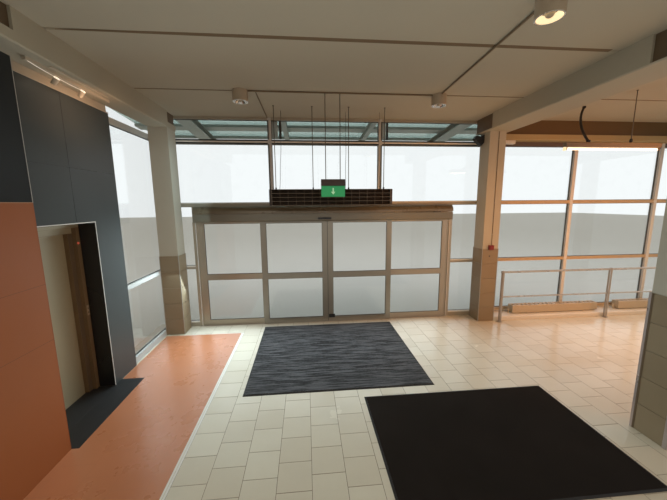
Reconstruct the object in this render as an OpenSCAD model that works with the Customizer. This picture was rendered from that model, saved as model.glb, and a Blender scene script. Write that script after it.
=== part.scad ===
// Entrance bay of a supermarket: floor, columns, beams and roof planks, the glazed
// front with bi-parting sliding doors, a run of shop windows and a clad side wall.
// X runs along the front, Y points out of the building, Z is up. The origin lies on
// the ground, under the middle of the door, in the plane of the glass.

/* [Structure] */
// Distance between the column lines of the window bay
window_bay_w = 5800; // [5200:50:6600]
// Side of the square columns
column_w = 314; // [280:2:330]
// Gap between the glass and the columns
column_gap = 107; // [80:1:150]
// Distance between the front and back columns
column_pitch = 3246; // [3000:2:3400]
// Floor to the underside of the roof planks
ceiling_h = 3930; // [3850:10:4200]
// Depth of the beams under the planks
beam_d = 270; // [220:5:300]
// Width of the middle beam
beam_w = 490; // [440:10:520]
// Chamfer along the lower beam edges
beam_chamfer = 12; // [6:1:25]
// Length of the set-back heads over the back columns
head_len = 800; // [700:10:900]
// How far the heads stand back from the faces of the beams
head_set = 25; // [10:1:40]
// Strip of beam that runs on under the heads
head_base = 16; // [14:1:40]
// Further height of that strip on the left line
head_lift = 75; // [60:5:90]
// Thickness of the floor slab
slab_t = 150; // [120:5:250]
// Slab in front of the glass
slab_front = 110; // [90:5:150]
// Thickness of the entrance mats
mat_t = 14; // [8:1:20]

/* [Roof planks] */
// Width of one plank
plank_w = 1420; // [1300:10:1500]
// Number of planks across the bay
plank_n = 3; // [3:1:4]
// Thickness of a plank
plank_t = 220; // [200:5:260]
// Diameter of the round cores
core_d = 140; // [100:5:150]
// Cores in one plank
core_n = 6; // [5:1:7]
// Open joint between planks
plank_joint = 8; // [6:1:20]
// Chamfer along the lower plank edges
plank_chamfer = 16; // [8:1:25]
// Roof in front of the glass
roof_front = 50; // [40:5:80]
// Thickness of the fascia
fascia_t = 40; // [25:5:60]
// Rise of the fascia above the planks
fascia_up = 200; // [150:10:260]
// Width of the cap folded over the roof edge
fascia_cap = 150; // [80:5:200]

/* [Glazed front] */
// Glass beside the door, left of it
left_light_w = 474; // [400:1:520]
// Glass beside the door, right of it
right_light_w = 588; // [500:1:640]
// Depth of posts and rails
frame_d = 120; // [100:5:140]
// Face width of posts
post_w = 70; // [60:5:90]
// Width of the outer caps of posts and rails
cap_w = 60; // [50:2:64]
// Depth of the outer caps
cap_d = 22; // [12:1:30]
// Width of the web that ties a cap to its post
web_w = 10; // [6:1:10]
// Bite of the glass into posts and rails
bite = 15; // [10:1:15]
// Thickness of the double glass
glass_t = 24; // [16:2:32]
// Middle of the left upper mullion
mullion_left = -1046; // [-1200:1:-950]
// Middle of the right upper mullion
mullion_right = 1029; // [950:1:1200]
// Height of the door transom
transom_h = 70; // [60:5:90]
// Ceiling to the underside of the upper transom
clerestory_h = 470; // [420:5:520]
// Height of the upper transom
upper_h = 80; // [60:5:90]
// Height of the head rail under the ceiling
head_rail_h = 45; // [40:5:70]
// Height of the sills of the fixed lights
sill_h = 100; // [60:5:130]
// Middle of the mid rail of the fixed lights above the floor
light_rail_z = 1180; // [1050:10:1300]
// Height of the mid rail of the fixed lights
light_rail_h = 60; // [45:5:70]

/* [Sliding doors] */
// Width between the outer faces of the door posts
door_w = 5060; // [5000:2:5200]
// Face width of the door posts
door_post_w = 94; // [88:2:120]
// Width of the raised outer strip of the door posts
post_strip_w = 60; // [40:5:70]
// Rise of that strip
post_strip_d = 20; // [10:1:30]
// Floor to the underside of the door header
door_clear_h = 2045; // [2010:5:2080]
// Middle of the door to the middle of the fixed stiles
stile_x = 1232; // [1200:2:1260]
// Face width of the stiles of leaves and screens
stile_w = 88; // [70:2:100]
// Height of the bottom rails above the floor
bottom_rail_z = 95; // [85:1:120]
// Underside of the mid rail
mid_rail_z = 930; // [850:5:1000]
// Height of the mid rail
mid_rail_h = 87; // [60:1:100]
// Height of the top rail
top_rail_h = 60; // [50:5:80]
// Width of the glazing beads
bead_w = 12; // [8:1:18]
// Depth of the glazing beads behind the frame's face
bead_set = 6; // [3:1:10]
// Thickness of leaves and screens
leaf_t = 42; // [36:1:46]
// Gap between leaves and screens
leaf_gap = 12; // [8:1:16]
// Half of the gap between the shut leaves
meet_gap = 4; // [3:1:8]
// Gap under the leaves
floor_gap = 8; // [6:1:12]
// Thickness of the leaf glass
leaf_glass_t = 10; // [6:1:16]
// Thickness of the threshold plate
track_h = 3; // [2:1:6]

/* [Door header] */
// Depth of the door header
header_d = 240; // [230:5:260]
// Height of the door header
header_h = 285; // [280:5:320]
// Height of its flat lower band
band_h = 145; // [120:5:160]
// Wall of the header cover
header_wall = 5; // [3:1:8]
// Radius of the rounded lid
lid_r = 108; // [80:2:120]
// Radius of the lower edge of the band
lip_r = 24; // [15:1:30]
// Joint between the lengths of the lid
lid_joint = 4; // [2:1:10]
// Right end of the long lid
lid_split_x = 1450; // [1300:10:1600]
// How much the short lid stands off the band
lid_lift = 9; // [4:1:14]
// Outer diameter of the rollers
roller_d = 48; // [44:1:54]
// Width of the rollers
roller_w = 18; // [16:1:24]
// Depth of the groove in the rollers
groove_d = 7; // [5:1:9]
// Running clearance of the rollers over the rail
roller_gap = 0.5; // [0.3:0.1:1]
// Diameter of the belt pulleys
pulley_d = 56; // [50:1:64]
// Middle of the door to the belt pulleys
pulley_x = 2150; // [2100:10:2200]
// Width of the belt
belt_w = 20; // [15:1:25]

/* [Air curtain and sign] */
// Length of the air curtain
curtain_l = 2050; // [1800:10:2200]
// Height of the air curtain
curtain_h = 260; // [220:5:300]
// Depth of the air curtain
curtain_d = 350; // [300:5:400]
// Corner radius of the air curtain
curtain_r = 45; // [20:1:60]
// Front of the air curtain to the glass
curtain_y = 920; // [880:5:980]
// Middle of the air curtain to the middle of the door
curtain_x = 25; // [0:5:60]
// Underside of the air curtain above the floor
curtain_z = 2345; // [2340:5:2400]
// Fields of the grille side by side
grille_cols = 15; // [10:1:20]
// Fields of the grille above each other
grille_rows = 4; // [3:1:6]
// Width and depth of a grille bar
grille_bar = 6; // [4:1:10]
// Depth of the inlet behind the grille
inlet_d = 40; // [20:5:80]
// Width of the outlet slot
outlet_w = 70; // [40:5:100]
// Width of the exit sign
sign_w = 360; // [300:5:400]
// Height of the lit part of the sign
sign_h = 165; // [140:5:200]
// Thickness of the lit part of the sign
sign_t = 20; // [12:1:30]
// Height of the sign housing
sign_box_h = 95; // [60:5:110]
// Thickness of the sign housing
sign_box_d = 80; // [60:5:100]
// Sign to the glass
sign_y = 1350; // [1300:5:1500]
// Underside of the sign above the floor
sign_z = 2468; // [2440:2:2600]
// Diameter of the hanging rods
rod_d = 12; // [10:1:16]

/* [Canopy] */
// Reach of the canopy past the fascia
canopy_out = 2510; // [2200:10:2700]
// Overhang past the left corner
canopy_side = 1250; // [1000:10:1400]
// Width of the inner rafters
rafter_w = 100; // [80:5:120]
// Width of the rafters beside the columns
edge_rafter_w = 300; // [240:10:340]
// Depth of a rafter at the wall
rafter_root = 150; // [120:5:160]
// Depth of a rafter at its tip
rafter_tip = 135; // [90:5:140]
// Thickness of the rafter plates
rafter_t = 12; // [8:1:16]
// Depth of the purlins
purlin_h = 60; // [40:5:80]
// Width of the middle purlin
purlin_w = 280; // [200:10:320]
// Width of the edge purlin
edge_purlin_w = 80; // [60:5:100]
// Thickness of the laminated glass
canopy_glass_t = 16; // [12:1:20]
// Bedding under the purlins and under the panes
canopy_bed = 0.3; // [0.2:0.1:1]
// Joint between the canopy panes
canopy_joint = 20; // [10:1:30]
// Top of the rafters at the wall above the ceiling
canopy_rise = 340; // [300:10:350]
// Fall of the canopy from the wall to its edge
canopy_fall = 200; // [140:10:260]

/* [Window bay] */
// Number of lights between the columns
window_n = 3; // [2:1:4]
// Depth of the plinth
plinth_d = 430; // [380:5:460]
// Height of the plinth
plinth_h = 80; // [60:5:110]
// Chamfer of the plinth's nose
plinth_nose = 15; // [5:1:25]
// Height of the pelmet under the lintel
pelmet_h = 115; // [90:5:140]
// Depth of the pelmet
pelmet_d = 150; // [120:5:180]
// Radius of the pelmet's lower edge
pelmet_r = 30; // [15:1:45]
// Depth of the lintel above the pelmet
lintel_d = 110; // [80:5:140]
// Height of the guard rail
rail_z = 1035; // [950:5:1100]
// Height of the lower rail
low_rail_z = 515; // [400:5:600]
// Diameter of the top rail
rail_d = 40; // [34:1:48]
// Diameter of the lower rail
low_rail_d = 28; // [24:1:34]
// Number of rail posts
rail_post_n = 3; // [2:1:4]
// Width of the post flats
flat_w = 34; // [30:2:50]
// Thickness of the post flats
flat_t = 8; // [6:1:12]
// Length of a convector
convector_l = 1900; // [1700:20:1960]
// Height of a convector
convector_h = 155; // [120:5:170]
// Depth of a convector
convector_d = 150; // [110:5:180]
// Slots in the top of a convector
slot_n = 20; // [12:1:30]

/* [Side wall] */
// Length of the glazed return
return_l = 1490; // [1300:10:1600]
// Thickness of the side wall
wall_t = 350; // [300:10:400]
// Front edge of the side doorway to the glass
side_door_y = 2000; // [1950:10:2050]
// Width of the side doorway
side_door_w = 1000; // [900:10:1040]
// Height of the side doorway
side_door_h = 2170; // [2100:10:2250]
// Thickness of the cladding
clad_t = 22; // [18:1:30]
// Front of the clad pier to the glass
pier_y = 3090; // [3080:5:3110]
// Width of the clad pier beside the side wall
pier_w = 244; // [230:2:290]
// Height of the lower cladding
clad_low_h = 2400; // [2350:10:2450]
// Band of bare wall between the cladding and the beam
bulkhead_h = 90; // [60:5:120]
// Depth of the reveal in front of the side door's frame
reveal_d = 175; // [150:5:200]
// Width of the frame's outer step
outer_step = 60; // [45:5:75]
// Width of the frame's inner step
inner_step = 70; // [50:5:90]
// Setback of each step
step_set = 45; // [30:5:60]
// Thickness of the side door's leaf
side_leaf_t = 40; // [30:5:50]

/* [Services] */
// Diameter of the ceiling lights
light_d = 210; // [200:5:260]
// Height of the ceiling lights
light_h = 150; // [130:5:200]
// Depth of the reflector in the ceiling lights
reflector_d = 60; // [30:5:80]
// Diameter of the ceiling conduits
conduit_d = 22; // [16:1:28]
// Length of the batten light
batten_l = 1500; // [1200:50:1600]
// Ceiling to the top of the batten light
batten_drop = 720; // [650:10:800]
// Width of the batten light's body
batten_w = 62; // [50:2:80]
// Height of the batten light's body
batten_h = 70; // [50:2:90]
// Diameter of its tube
tube_d = 26; // [16:1:38]
// Length of the spot track
track_l = 1150; // [1000:10:1300]

/* [Hidden] */

left_face = -door_w / 2 - left_light_w;
left_line = left_face + column_w / 2;
middle_line = door_w / 2 + right_light_w + post_w / 2;
right_line = middle_line + window_bay_w;
right_face = right_line + column_w / 2;
lines = [left_line, middle_line, right_line];
front_y = -column_gap - column_w / 2;
column_face_y = front_y - column_w / 2;
back_y = front_y - column_pitch;
beam_z = ceiling_h - beam_d;
wall_x = left_face - wall_t;
roof_back = roof_front - plank_n * plank_w;
frame_y = frame_d / 2;
glass_y = glass_t / 2;
corner_x = left_face - frame_y;
upper_z = ceiling_h - clerestory_h;
transom_z = door_clear_h + header_h;
fascia_y = roof_front + fascia_t;
eps = 1;

// Raises what is drawn from the floor's surface onto the slab
module on_floor() {
  translate([0, 0, slab_t]) children();
}

// Box between two corners, measured from the floor's surface
module slab_box(a, b) {
  on_floor() translate(a) cube(b - a);
}

// Sections drawn in Y and Z, run along X
module along_x(x0, x1) {
  on_floor() translate([x0, 0, 0]) rotate([90, 0, 90]) linear_extrude(x1 - x0) children();
}

// Sections drawn in X and Z, run along Y
module along_y(y0, y1) {
  on_floor() translate([0, y1, 0]) rotate([90, 0, 0]) linear_extrude(y1 - y0) children();
}

// Plans drawn in X and Y, run upwards
module along_z(z0, z1) {
  on_floor() translate([0, 0, z0]) linear_extrude(z1 - z0) children();
}

module floor_slab() {
  color("#c9c1ae")
    translate([wall_x, roof_back, 0])
      cube([right_face - wall_x, slab_front - roof_back, slab_t]);
}

// Loose entrance mats: left, back, width and depth of each
mats = [[-1247, -2425, 2475, 2173], [258, -4056, 2305, 1476]];

module door_mats() {
  color("#26282b") for (m = mats) slab_box([m[0], m[1], 0], [m[0] + m[2], m[1] + m[3], mat_t]);
}

// The left back column is narrower, inside its clad pier
pier_face = left_face + pier_w;
module columns() {
  color("#b9b4a6") for (x = lines, y = [front_y, back_y]) {
    x1 = x == left_line && y == back_y ? pier_face - clad_t : x + column_w / 2;
    slab_box([x - column_w / 2, y - column_w / 2, 0], [x1, y + column_w / 2, beam_z]);
  }
}

// Span across X of the beam on line i: the outer beams are flush with their columns
function beam_x0(i) = i == 1 ? lines[i] - beam_w / 2 : lines[i] - column_w / 2;
function beam_x1(i) = i == 1 ? lines[i] + beam_w / 2 : lines[i] + column_w / 2;
beam_front = -frame_y - 10;
// Reach of the front head on each line behind its column's middle
head_reach = [110, 340, 340];
function head_back(i) = front_y - head_reach[i];
head_y0 = back_y - head_len / 2;
head_y1 = back_y + head_len / 2;

// Heads over the columns, set back from the open faces of the beams
function head_z(i) = beam_z + head_base + (i == 0 ? head_lift : 0);
module column_heads() {
  color("#5e4c38") for (i = [0:2]) {
    x0 = beam_x0(i) + (i == 0 ? 0 : head_set);
    x1 = beam_x1(i) - (i == 2 ? 0 : head_set);
    slab_box([x0, head_back(i), head_z(i)], [x1, beam_front, ceiling_h]);
    slab_box([x0, head_y0, head_z(i)], [x1, head_y1, ceiling_h]);
  }
}

// Beam section on line i up to the height z, with chamfered lower edges
module beam_section(i, z) {
  x0 = beam_x0(i);
  x1 = beam_x1(i);
  polygon([
    [x0 + beam_chamfer, beam_z], [x1 - beam_chamfer, beam_z], [x1, beam_z + beam_chamfer],
    [x1, z], [x0, z], [x0, beam_z + beam_chamfer]
  ]);
}

// Each beam stops at the heads, and only its lower strip runs on under them
module beams() {
  color("#c4beae") for (i = [0:2]) {
    along_y(roof_back, beam_front) beam_section(i, head_z(i));
    along_y(head_y1, head_back(i)) beam_section(i, ceiling_h);
    along_y(roof_back, head_y0) beam_section(i, ceiling_h);
  }
}

// Section of a hollow plank, from its front lower corner, with round cores
module plank_section() {
  w = plank_w - plank_joint;
  pitch = w / core_n;
  difference() {
    polygon([
      [plank_chamfer, 0], [w - plank_chamfer, 0], [w, plank_chamfer],
      [w, plank_t], [0, plank_t], [0, plank_chamfer]
    ]);
    for (k = [0:core_n - 1]) translate([(k + 0.5) * pitch, plank_t / 2]) circle(d = core_d, $fn = 48);
  }
}

module planks(x0, x1) {
  for (k = [0:plank_n - 1])
    along_x(x0, x1) translate([roof_front - (k + 1) * plank_w + plank_joint / 2, ceiling_h]) plank_section();
}

module roof_planks() {
  color("#d2ccbb") {
    planks(wall_x, middle_line - plank_joint / 2);
    planks(middle_line + plank_joint / 2, right_face);
  }
}

// Edge trim of the roof: an upright sheet with a cap folded back over it
module fascia() {
  top = ceiling_h + plank_t + fascia_up;
  color("#8d9290") along_x(wall_x, right_face) polygon([
    [fascia_y, ceiling_h], [fascia_y, top], [fascia_y - fascia_cap, top],
    [fascia_y - fascia_cap, top - fascia_t], [roof_front, top - fascia_t], [roof_front, ceiling_h]
  ]);
}

// Mullion or transom section: room-side box, web through the glass line, outer cap.
// It is drawn across w, with its depth along Y
module bar_section(w) {
  translate([-w / 2, -frame_y]) square([w, frame_y - glass_y]);
  translate([-web_w / 2, -glass_y - eps]) square([web_w, glass_t + 2 * eps]);
  translate([-w / 2 + (post_w - cap_w) / 2, glass_y]) square([w - post_w + cap_w, cap_d]);
}

module post(x, z0, z1) {
  along_z(z0, z1) translate([x, 0]) bar_section(post_w);
}

// Rail across a span between two posts, with its underside at z
module rail(span, z, h) {
  on_floor() translate([span[0], 0, z + h / 2]) rotate([90, 0, 90])
    linear_extrude(span[1] - span[0]) rotate(-90) bar_section(h);
}

// The corner post, the post behind the middle column and the upper mullions
module front_posts() {
  color("#a9a595") {
    slab_box([corner_x - frame_y, -frame_y, 0], [corner_x + frame_y, frame_y, ceiling_h]);
    post(middle_line, 0, ceiling_h);
    for (x = [mullion_left, mullion_right]) post(x, transom_z + transom_h, ceiling_h);
  }
}

// Clear spans between posts, each with the bite of its glass at both ends
light_left = [left_face, -door_w / 2, 0, 0];
light_right = [door_w / 2, middle_line - post_w / 2, 0, bite];
upper_lights = [
  [left_face, mullion_left - post_w / 2, 0, bite],
  [mullion_left + post_w / 2, mullion_right - post_w / 2, bite, bite],
  [mullion_right + post_w / 2, light_right[1], bite, bite]
];

module front_rails() {
  color("#b5b0a0") {
    rail([left_face, light_right[1]], transom_z, transom_h);
    for (s = upper_lights) {
      rail(s, upper_z, upper_h);
      rail(s, ceiling_h - head_rail_h, head_rail_h);
    }
    for (s = [light_left, light_right]) {
      rail(s, 0, sill_h);
      rail(s, light_rail_z - light_rail_h / 2, light_rail_h);
    }
  }
}

// Pane of a light between two rails, let into them by the bite
module pane(s, z0, z1) {
  slab_box([s[0] - s[2], -glass_y, z0 - bite], [s[1] + s[3], glass_y, z1 + bite]);
}

module fixed_glass() {
  color("#b4cfc8", 0.4) {
    for (s = upper_lights) {
      pane(s, upper_z + upper_h, ceiling_h - head_rail_h);
      pane(s, transom_z + transom_h, upper_z);
    }
    for (s = [light_left, light_right]) {
      pane(s, sill_h, light_rail_z - light_rail_h / 2);
      pane(s, light_rail_z + light_rail_h / 2, transom_z);
    }
    for (k = [0:window_n - 1]) {
      pane(window_light(k), plinth_h + light_rail_h, light_rail_z - light_rail_h / 2);
      pane(window_light(k), light_rail_z + light_rail_h / 2, transom_z);
      pane(window_light(k), transom_z + transom_h, pelmet_z - upper_h);
    }
    for (s = [-1, 1]) on_side(s) door_glass(screen_x0, screen_x1, screen_y, door_clear_h, screen_rail_h);
    return_pane(sill_h, light_rail_z - light_rail_h / 2);
    return_pane(light_rail_z + light_rail_h / 2, upper_z);
    return_pane(upper_z + upper_h, ceiling_h - head_rail_h);
  }
}

// Draws its children to the right of the door's middle, or mirrored to the left
module on_side(side) {
  mirror([side < 0 ? 1 : 0, 0, 0]) children();
}

// Door set: fixed screens stand behind the leaves, which run on the room side
post_proud = 4;
screen_y = -leaf_t;
leaf_y = screen_y - leaf_gap - leaf_t;
leaf_mid_y = leaf_y + leaf_t / 2;
leaf_lift = 35;
leaf_top = door_clear_h + leaf_lift;
screen_rail_h = top_rail_h - leaf_lift;
screen_x0 = stile_x - stile_w / 2;
screen_x1 = door_w / 2 - door_post_w;
leaf_x0 = meet_gap;
leaf_x1 = stile_x + stile_w / 2;
back_y0 = screen_y - post_proud;

module door_posts() {
  color("#a89a82") for (s = [-1, 1]) on_side(s) {
    slab_box([screen_x1, back_y0, 0], [door_w / 2, frame_y, transom_z]);
    slab_box(
      [door_w / 2 - post_strip_w, back_y0 - post_strip_d, 0], [door_w / 2, back_y0 + eps, door_clear_h]
    );
  }
}

module door_track() {
  color("#8c8878")
    slab_box([-screen_x1, leaf_y, 0], [screen_x1, frame_y, track_h]);
}

// Openings of a door frame between x0 and x1 under a top rail, widened by grow
module door_openings(x0, x1, z1, rail_h, grow) {
  for (z = [[bottom_rail_z, mid_rail_z], [mid_rail_z + mid_rail_h, z1 - rail_h]])
    translate([x0 + stile_w - grow, z[0] - grow])
      square([x1 - x0 - 2 * (stile_w - grow), z[1] - z[0] + 2 * grow]);
}

// Upright frame of a leaf or screen, with set-back glazing beads on both faces
module door_frame(x0, x1, y, z0, z1, rail_h) {
  for (part = [[0, bead_set, 0], [bead_set, leaf_t - bead_set, -bead_w], [leaf_t - bead_set, leaf_t, 0]])
    along_y(y + part[0], y + part[1]) difference() {
      translate([x0, z0]) square([x1 - x0, z1 - z0]);
      door_openings(x0, x1, z1, rail_h, part[2]);
    }
}

module door_glass(x0, x1, y, z1, rail_h) {
  mid = y + leaf_t / 2;
  along_y(mid - leaf_glass_t / 2, mid + leaf_glass_t / 2) door_openings(x0, x1, z1, rail_h, -bead_w);
}

module screen_frames() {
  color("#ab9f88") for (s = [-1, 1]) on_side(s)
    door_frame(screen_x0, screen_x1, screen_y, track_h, door_clear_h, screen_rail_h);
}

module leaf_frame() {
  door_frame(leaf_x0, leaf_x1, leaf_y, track_h + floor_gap, leaf_top, top_rail_h);
}

module left_leaf_frame() {
  color("#b3a68e") on_side(-1) leaf_frame();
}

module left_leaf_glass() {
  color("#b9d2cb", 0.4) on_side(-1) door_glass(leaf_x0, leaf_x1, leaf_y, leaf_top, top_rail_h);
}

module right_leaf_frame() {
  color("#b3a68e") leaf_frame();
}

module right_leaf_glass() {
  color("#b9d2cb", 0.4) door_glass(leaf_x0, leaf_x1, leaf_y, leaf_top, top_rail_h);
}

// Rail over the screens: a back wall with an arm, a stem and a round bead for the rollers
arm_z = door_clear_h + 75;
arm_t = 8;
stem_w = 6;
stem_h = 10;
bead_r = 5;
bead_z = arm_z + arm_t + stem_h;
rail_back_t = -back_y0 - post_proud;

module header_rail() {
  color("#8f8a7c") along_x(-screen_x1, screen_x1) {
    translate([back_y0, door_clear_h]) square([rail_back_t, transom_z - door_clear_h]);
    translate([leaf_mid_y - bead_r, arm_z]) square([back_y0 - leaf_mid_y + bead_r + eps, arm_t]);
    translate([leaf_mid_y - stem_w / 2, arm_z]) square([stem_w, bead_z - arm_z]);
    translate([leaf_mid_y, bead_z]) circle(r = bead_r, $fn = 32);
  }
}

// Hangers: a foot on the leaf, a plate past the rail's arm and two grooved rollers
hanger_xs = [200, 1080];
hanger_w = 160;
hanger_t = 6;
hanger_y = leaf_y + 2;
foot_t = 8;
axle_d = 10;
clamp_h = 16;
clamp_gap = 6;
belt_gap = 16;
roller_z = bead_z + bead_r + roller_gap + roller_d / 2 - groove_d;
belt_y = hanger_y - belt_gap;
belt_z = transom_z - header_wall - 103;
hanger_top = roller_z + 26;

// Half section of a roller, turned round its axle
module roller_section() {
  difference() {
    translate([0, -roller_w / 2]) square([roller_d / 2, roller_w]);
    translate([roller_d / 2 - groove_d + bead_r + eps, 0]) circle(r = bead_r + eps, $fn = 20);
    translate([roller_d / 2 - eps, -bead_r - eps]) square([2 * eps, 2 * (bead_r + eps)]);
  }
}

module hanger(x, top) {
  slab_box([x - hanger_w / 2, leaf_y, leaf_top], [x + hanger_w / 2, leaf_y + leaf_t, leaf_top + foot_t]);
  slab_box([x - hanger_w / 2, hanger_y, leaf_top], [x + hanger_w / 2, hanger_y + hanger_t, top]);
  for (s = [-1, 1]) on_floor() translate([x + s * hanger_w * 0.3, 0, roller_z]) rotate([90, 0, 0]) {
    translate([0, 0, -leaf_mid_y]) rotate_extrude($fn = 32) roller_section();
    translate([0, 0, -leaf_mid_y]) cylinder(d = axle_d, h = leaf_mid_y - hanger_y, $fn = 24);
  }
}

// Hangers of one leaf: the inner one carries the clamp for the belt strand at height z
module leaf_hangers(z) {
  hanger(hanger_xs[0], max(hanger_top, z + clamp_h / 2));
  hanger(hanger_xs[1], hanger_top);
  slab_box(
    [hanger_xs[0] - hanger_w / 4, belt_y + clamp_gap, z - clamp_h / 2],
    [hanger_xs[0] + hanger_w / 4, hanger_y + eps, z + clamp_h / 2]
  );
}

module left_leaf_hangers() {
  color("#77756e") on_side(-1) leaf_hangers(belt_z - pulley_d / 2);
}

module right_leaf_hangers() {
  color("#77756e") leaf_hangers(belt_z + pulley_d / 2);
}

// Belt drive: shelves on the rail carry the motor with its control box and the idler
shelf_t = 8;
shelf_z = transom_z - header_wall - 65;
motor_d = 76;
control_x = 300 - pulley_x;
control_l = 380;
belt_t = 3;
module belt_loop(r) {
  for (s = [-1, 1]) translate([s * pulley_x, belt_z]) circle(r = r, $fn = 48);
  translate([-pulley_x, belt_z - r]) square([2 * pulley_x, 2 * r]);
}

module pulley(x) {
  on_floor() translate([x, belt_y + 4, belt_z]) rotate([90, 0, 0]) {
    cylinder(d = pulley_d - 2, h = belt_w + 16, $fn = 48);
    translate([0, 0, belt_w + 8]) cylinder(d = pulley_d + 12, h = 3, $fn = 48);
    cylinder(d = axle_d, h = belt_w + 40, $fn = 24);
  }
}

module door_drive() {
  box_y = belt_y - belt_w - 30;
  color("#4c4f50") {
    along_y(belt_y - belt_w, belt_y) difference() {
      belt_loop(pulley_d / 2 + belt_t);
      belt_loop(pulley_d / 2);
    }
    for (s = [-1, 1]) {
      pulley(s * pulley_x);
      slab_box(
        [s * pulley_x - 60, box_y - 60, belt_z - 30],
        [s * pulley_x + 60, box_y + 4, shelf_z]
      );
      slab_box(
        [s * pulley_x - 130, box_y - 60, shelf_z], [s * pulley_x + 130, back_y0, shelf_z + shelf_t]
      );
    }
    on_floor() translate([-pulley_x + 60, box_y - 22, belt_z]) rotate([0, 90, 0])
      cylinder(d = motor_d, h = 230, $fn = 48);
    slab_box([control_x, box_y - 62, belt_z - 40], [control_x + control_l, box_y, shelf_z]);
    slab_box([control_x, box_y - 62, shelf_z], [control_x + control_l, back_y0, shelf_z + shelf_t]);
  }
}

header_inset = 80;
header_x = door_w / 2 - header_inset;
band_top = door_clear_h + band_h;
lid_roll = 7;
slot_end = leaf_y - leaf_gap;

lip = [-header_d + lip_r, door_clear_h + lip_r];
nose = [-header_d + lid_r, transom_z - lid_r];

// Section of the header, set in from its faces, and reaching back to y1
module header_outline(inset, y1) {
  intersection() {
    union() {
      translate(lip) circle(r = lip_r - inset, $fn = 48);
      translate(nose) circle(r = lid_r - inset, $fn = 64);
      translate([-header_d + inset, lip[1]]) square([header_d, nose[1] - lip[1]]);
      translate([lip[0], door_clear_h + inset]) square([header_d, lip_r - inset]);
      translate([nose[0], lip[1]]) square([header_d, transom_z - lip[1] - inset]);
    }
    translate([-header_d, door_clear_h]) square([y1 + header_d, transom_z - door_clear_h]);
  }
}

// Its wall, open at the bottom behind the leaves
module header_shell(y1) {
  difference() {
    header_outline(0, y1);
    header_outline(header_wall, y1 + eps);
    translate([slot_end, door_clear_h - eps]) square([y1 - slot_end + eps, header_wall + 2 * eps]);
  }
}

// Flat lower band with a rounded lip, and the end plate on the left
module header_cover() {
  color("#a79b85") {
    along_x(-header_x, header_x) intersection() {
      header_shell(back_y0);
      translate([-header_d, door_clear_h]) square([header_d, band_h]);
    }
    along_x(-header_x - header_wall, -header_x) header_outline(0, back_y0);
  }
}

// Length of the lid between x0 and x1, standing off the band, with a rolled lower edge
module header_lid(x0, x1, off) {
  edge_z = band_top + lid_joint + off;
  along_x(x0, x1) translate([-off, 0]) {
    difference() {
      header_shell(back_y0 + off);
      translate([-header_d - eps, 0]) square([header_d + 2 * eps + off, edge_z]);
    }
    translate([-header_d + lid_roll, edge_z + lid_roll]) circle(r = lid_roll, $fn = 32);
  }
}

module header_lids() {
  color("#a79b85") {
    header_lid(-header_x, lid_split_x, 0);
    header_lid(lid_split_x + lid_joint, header_x, lid_lift);
  }
}

// Motion sensor on the header, and a detector on the middle column
sensor_w = 250;
sensor_h = 34;
sensor_d = 30;
sensor_off = 60;
sensor_z = door_clear_h + 35;
detector_z = beam_z - 230;
module detectors() {
  side = middle_line - column_w / 2;
  color("#1c1c1e") {
    along_y(-header_d - sensor_d, -header_d) polygon([
      [-sensor_w / 2 - sensor_off, sensor_z + 8], [-sensor_w / 2 - sensor_off + 12, sensor_z],
      [sensor_w / 2 - sensor_off - 12, sensor_z], [sensor_w / 2 - sensor_off, sensor_z + 8],
      [sensor_w / 2 - sensor_off, sensor_z + sensor_h],
      [-sensor_w / 2 - sensor_off, sensor_z + sensor_h]
    ]);
    along_y(front_y + 20, front_y + 120) polygon([
      [side, detector_z + 60], [side - 60, detector_z], [side - 90, detector_z + 40],
      [side - 190, detector_z + 130], [side - 150, detector_z + 190], [side - 60, detector_z + 170],
      [side, detector_z + 210]
    ]);
  }
}

curtain_mid_y = -curtain_y + curtain_d / 2;

// Housing with rounded ends, an inlet behind the grille and an outlet slot below
module air_curtain() {
  inner = curtain_l - 2 * curtain_r;
  color("#3c2f27") difference() {
    along_z(curtain_z, curtain_z + curtain_h) translate([curtain_x, curtain_mid_y]) {
      square([inner, curtain_d], center = true);
      square([curtain_l, curtain_d - 2 * curtain_r], center = true);
      for (s = [-1, 1], t = [-1, 1])
        translate([s * inner / 2, t * (curtain_d / 2 - curtain_r)]) circle(r = curtain_r, $fn = 48);
    }
    slab_box(
      [curtain_x - inner / 2 + grille_bar, -curtain_y - eps, curtain_z + grille_bar],
      [curtain_x + inner / 2 - grille_bar, -curtain_y + inlet_d, curtain_z + curtain_h - grille_bar]
    );
    slab_box(
      [curtain_x - inner / 2, curtain_mid_y + outlet_w / 2, curtain_z - eps],
      [curtain_x + inner / 2, curtain_mid_y + outlet_w * 1.5, curtain_z + inlet_d]
    );
  }
}

// Bars of the grille, fixed in front of the inlet
module air_curtain_grille() {
  w = curtain_l - 2 * curtain_r;
  color("#a08f74") along_y(-curtain_y - grille_bar, -curtain_y) translate([curtain_x - w / 2, curtain_z]) {
    for (k = [0:grille_cols])
      translate([k * (w - grille_bar) / grille_cols, 0]) square([grille_bar, curtain_h]);
    for (k = [0:grille_rows])
      translate([0, k * (curtain_h - grille_bar) / grille_rows]) square([w, grille_bar]);
  }
}

sign_x = 5;
sign_top = sign_z + sign_h + sign_box_h;

// Lit panel under a housing with sloping flanks
module exit_sign() {
  color("#1e7d4a") slab_box(
    [sign_x - sign_w / 2, -sign_y - sign_t / 2, sign_z],
    [sign_x + sign_w / 2, -sign_y + sign_t / 2, sign_z + sign_h]
  );
  color("#3a342c") along_x(sign_x - sign_w / 2, sign_x + sign_w / 2) translate([-sign_y, sign_top - sign_box_h])
    polygon([
      [-sign_box_d / 2, 0], [sign_box_d / 2, 0],
      [sign_box_d / 2 - 12, sign_box_h], [12 - sign_box_d / 2, sign_box_h]
    ]);
}

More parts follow.
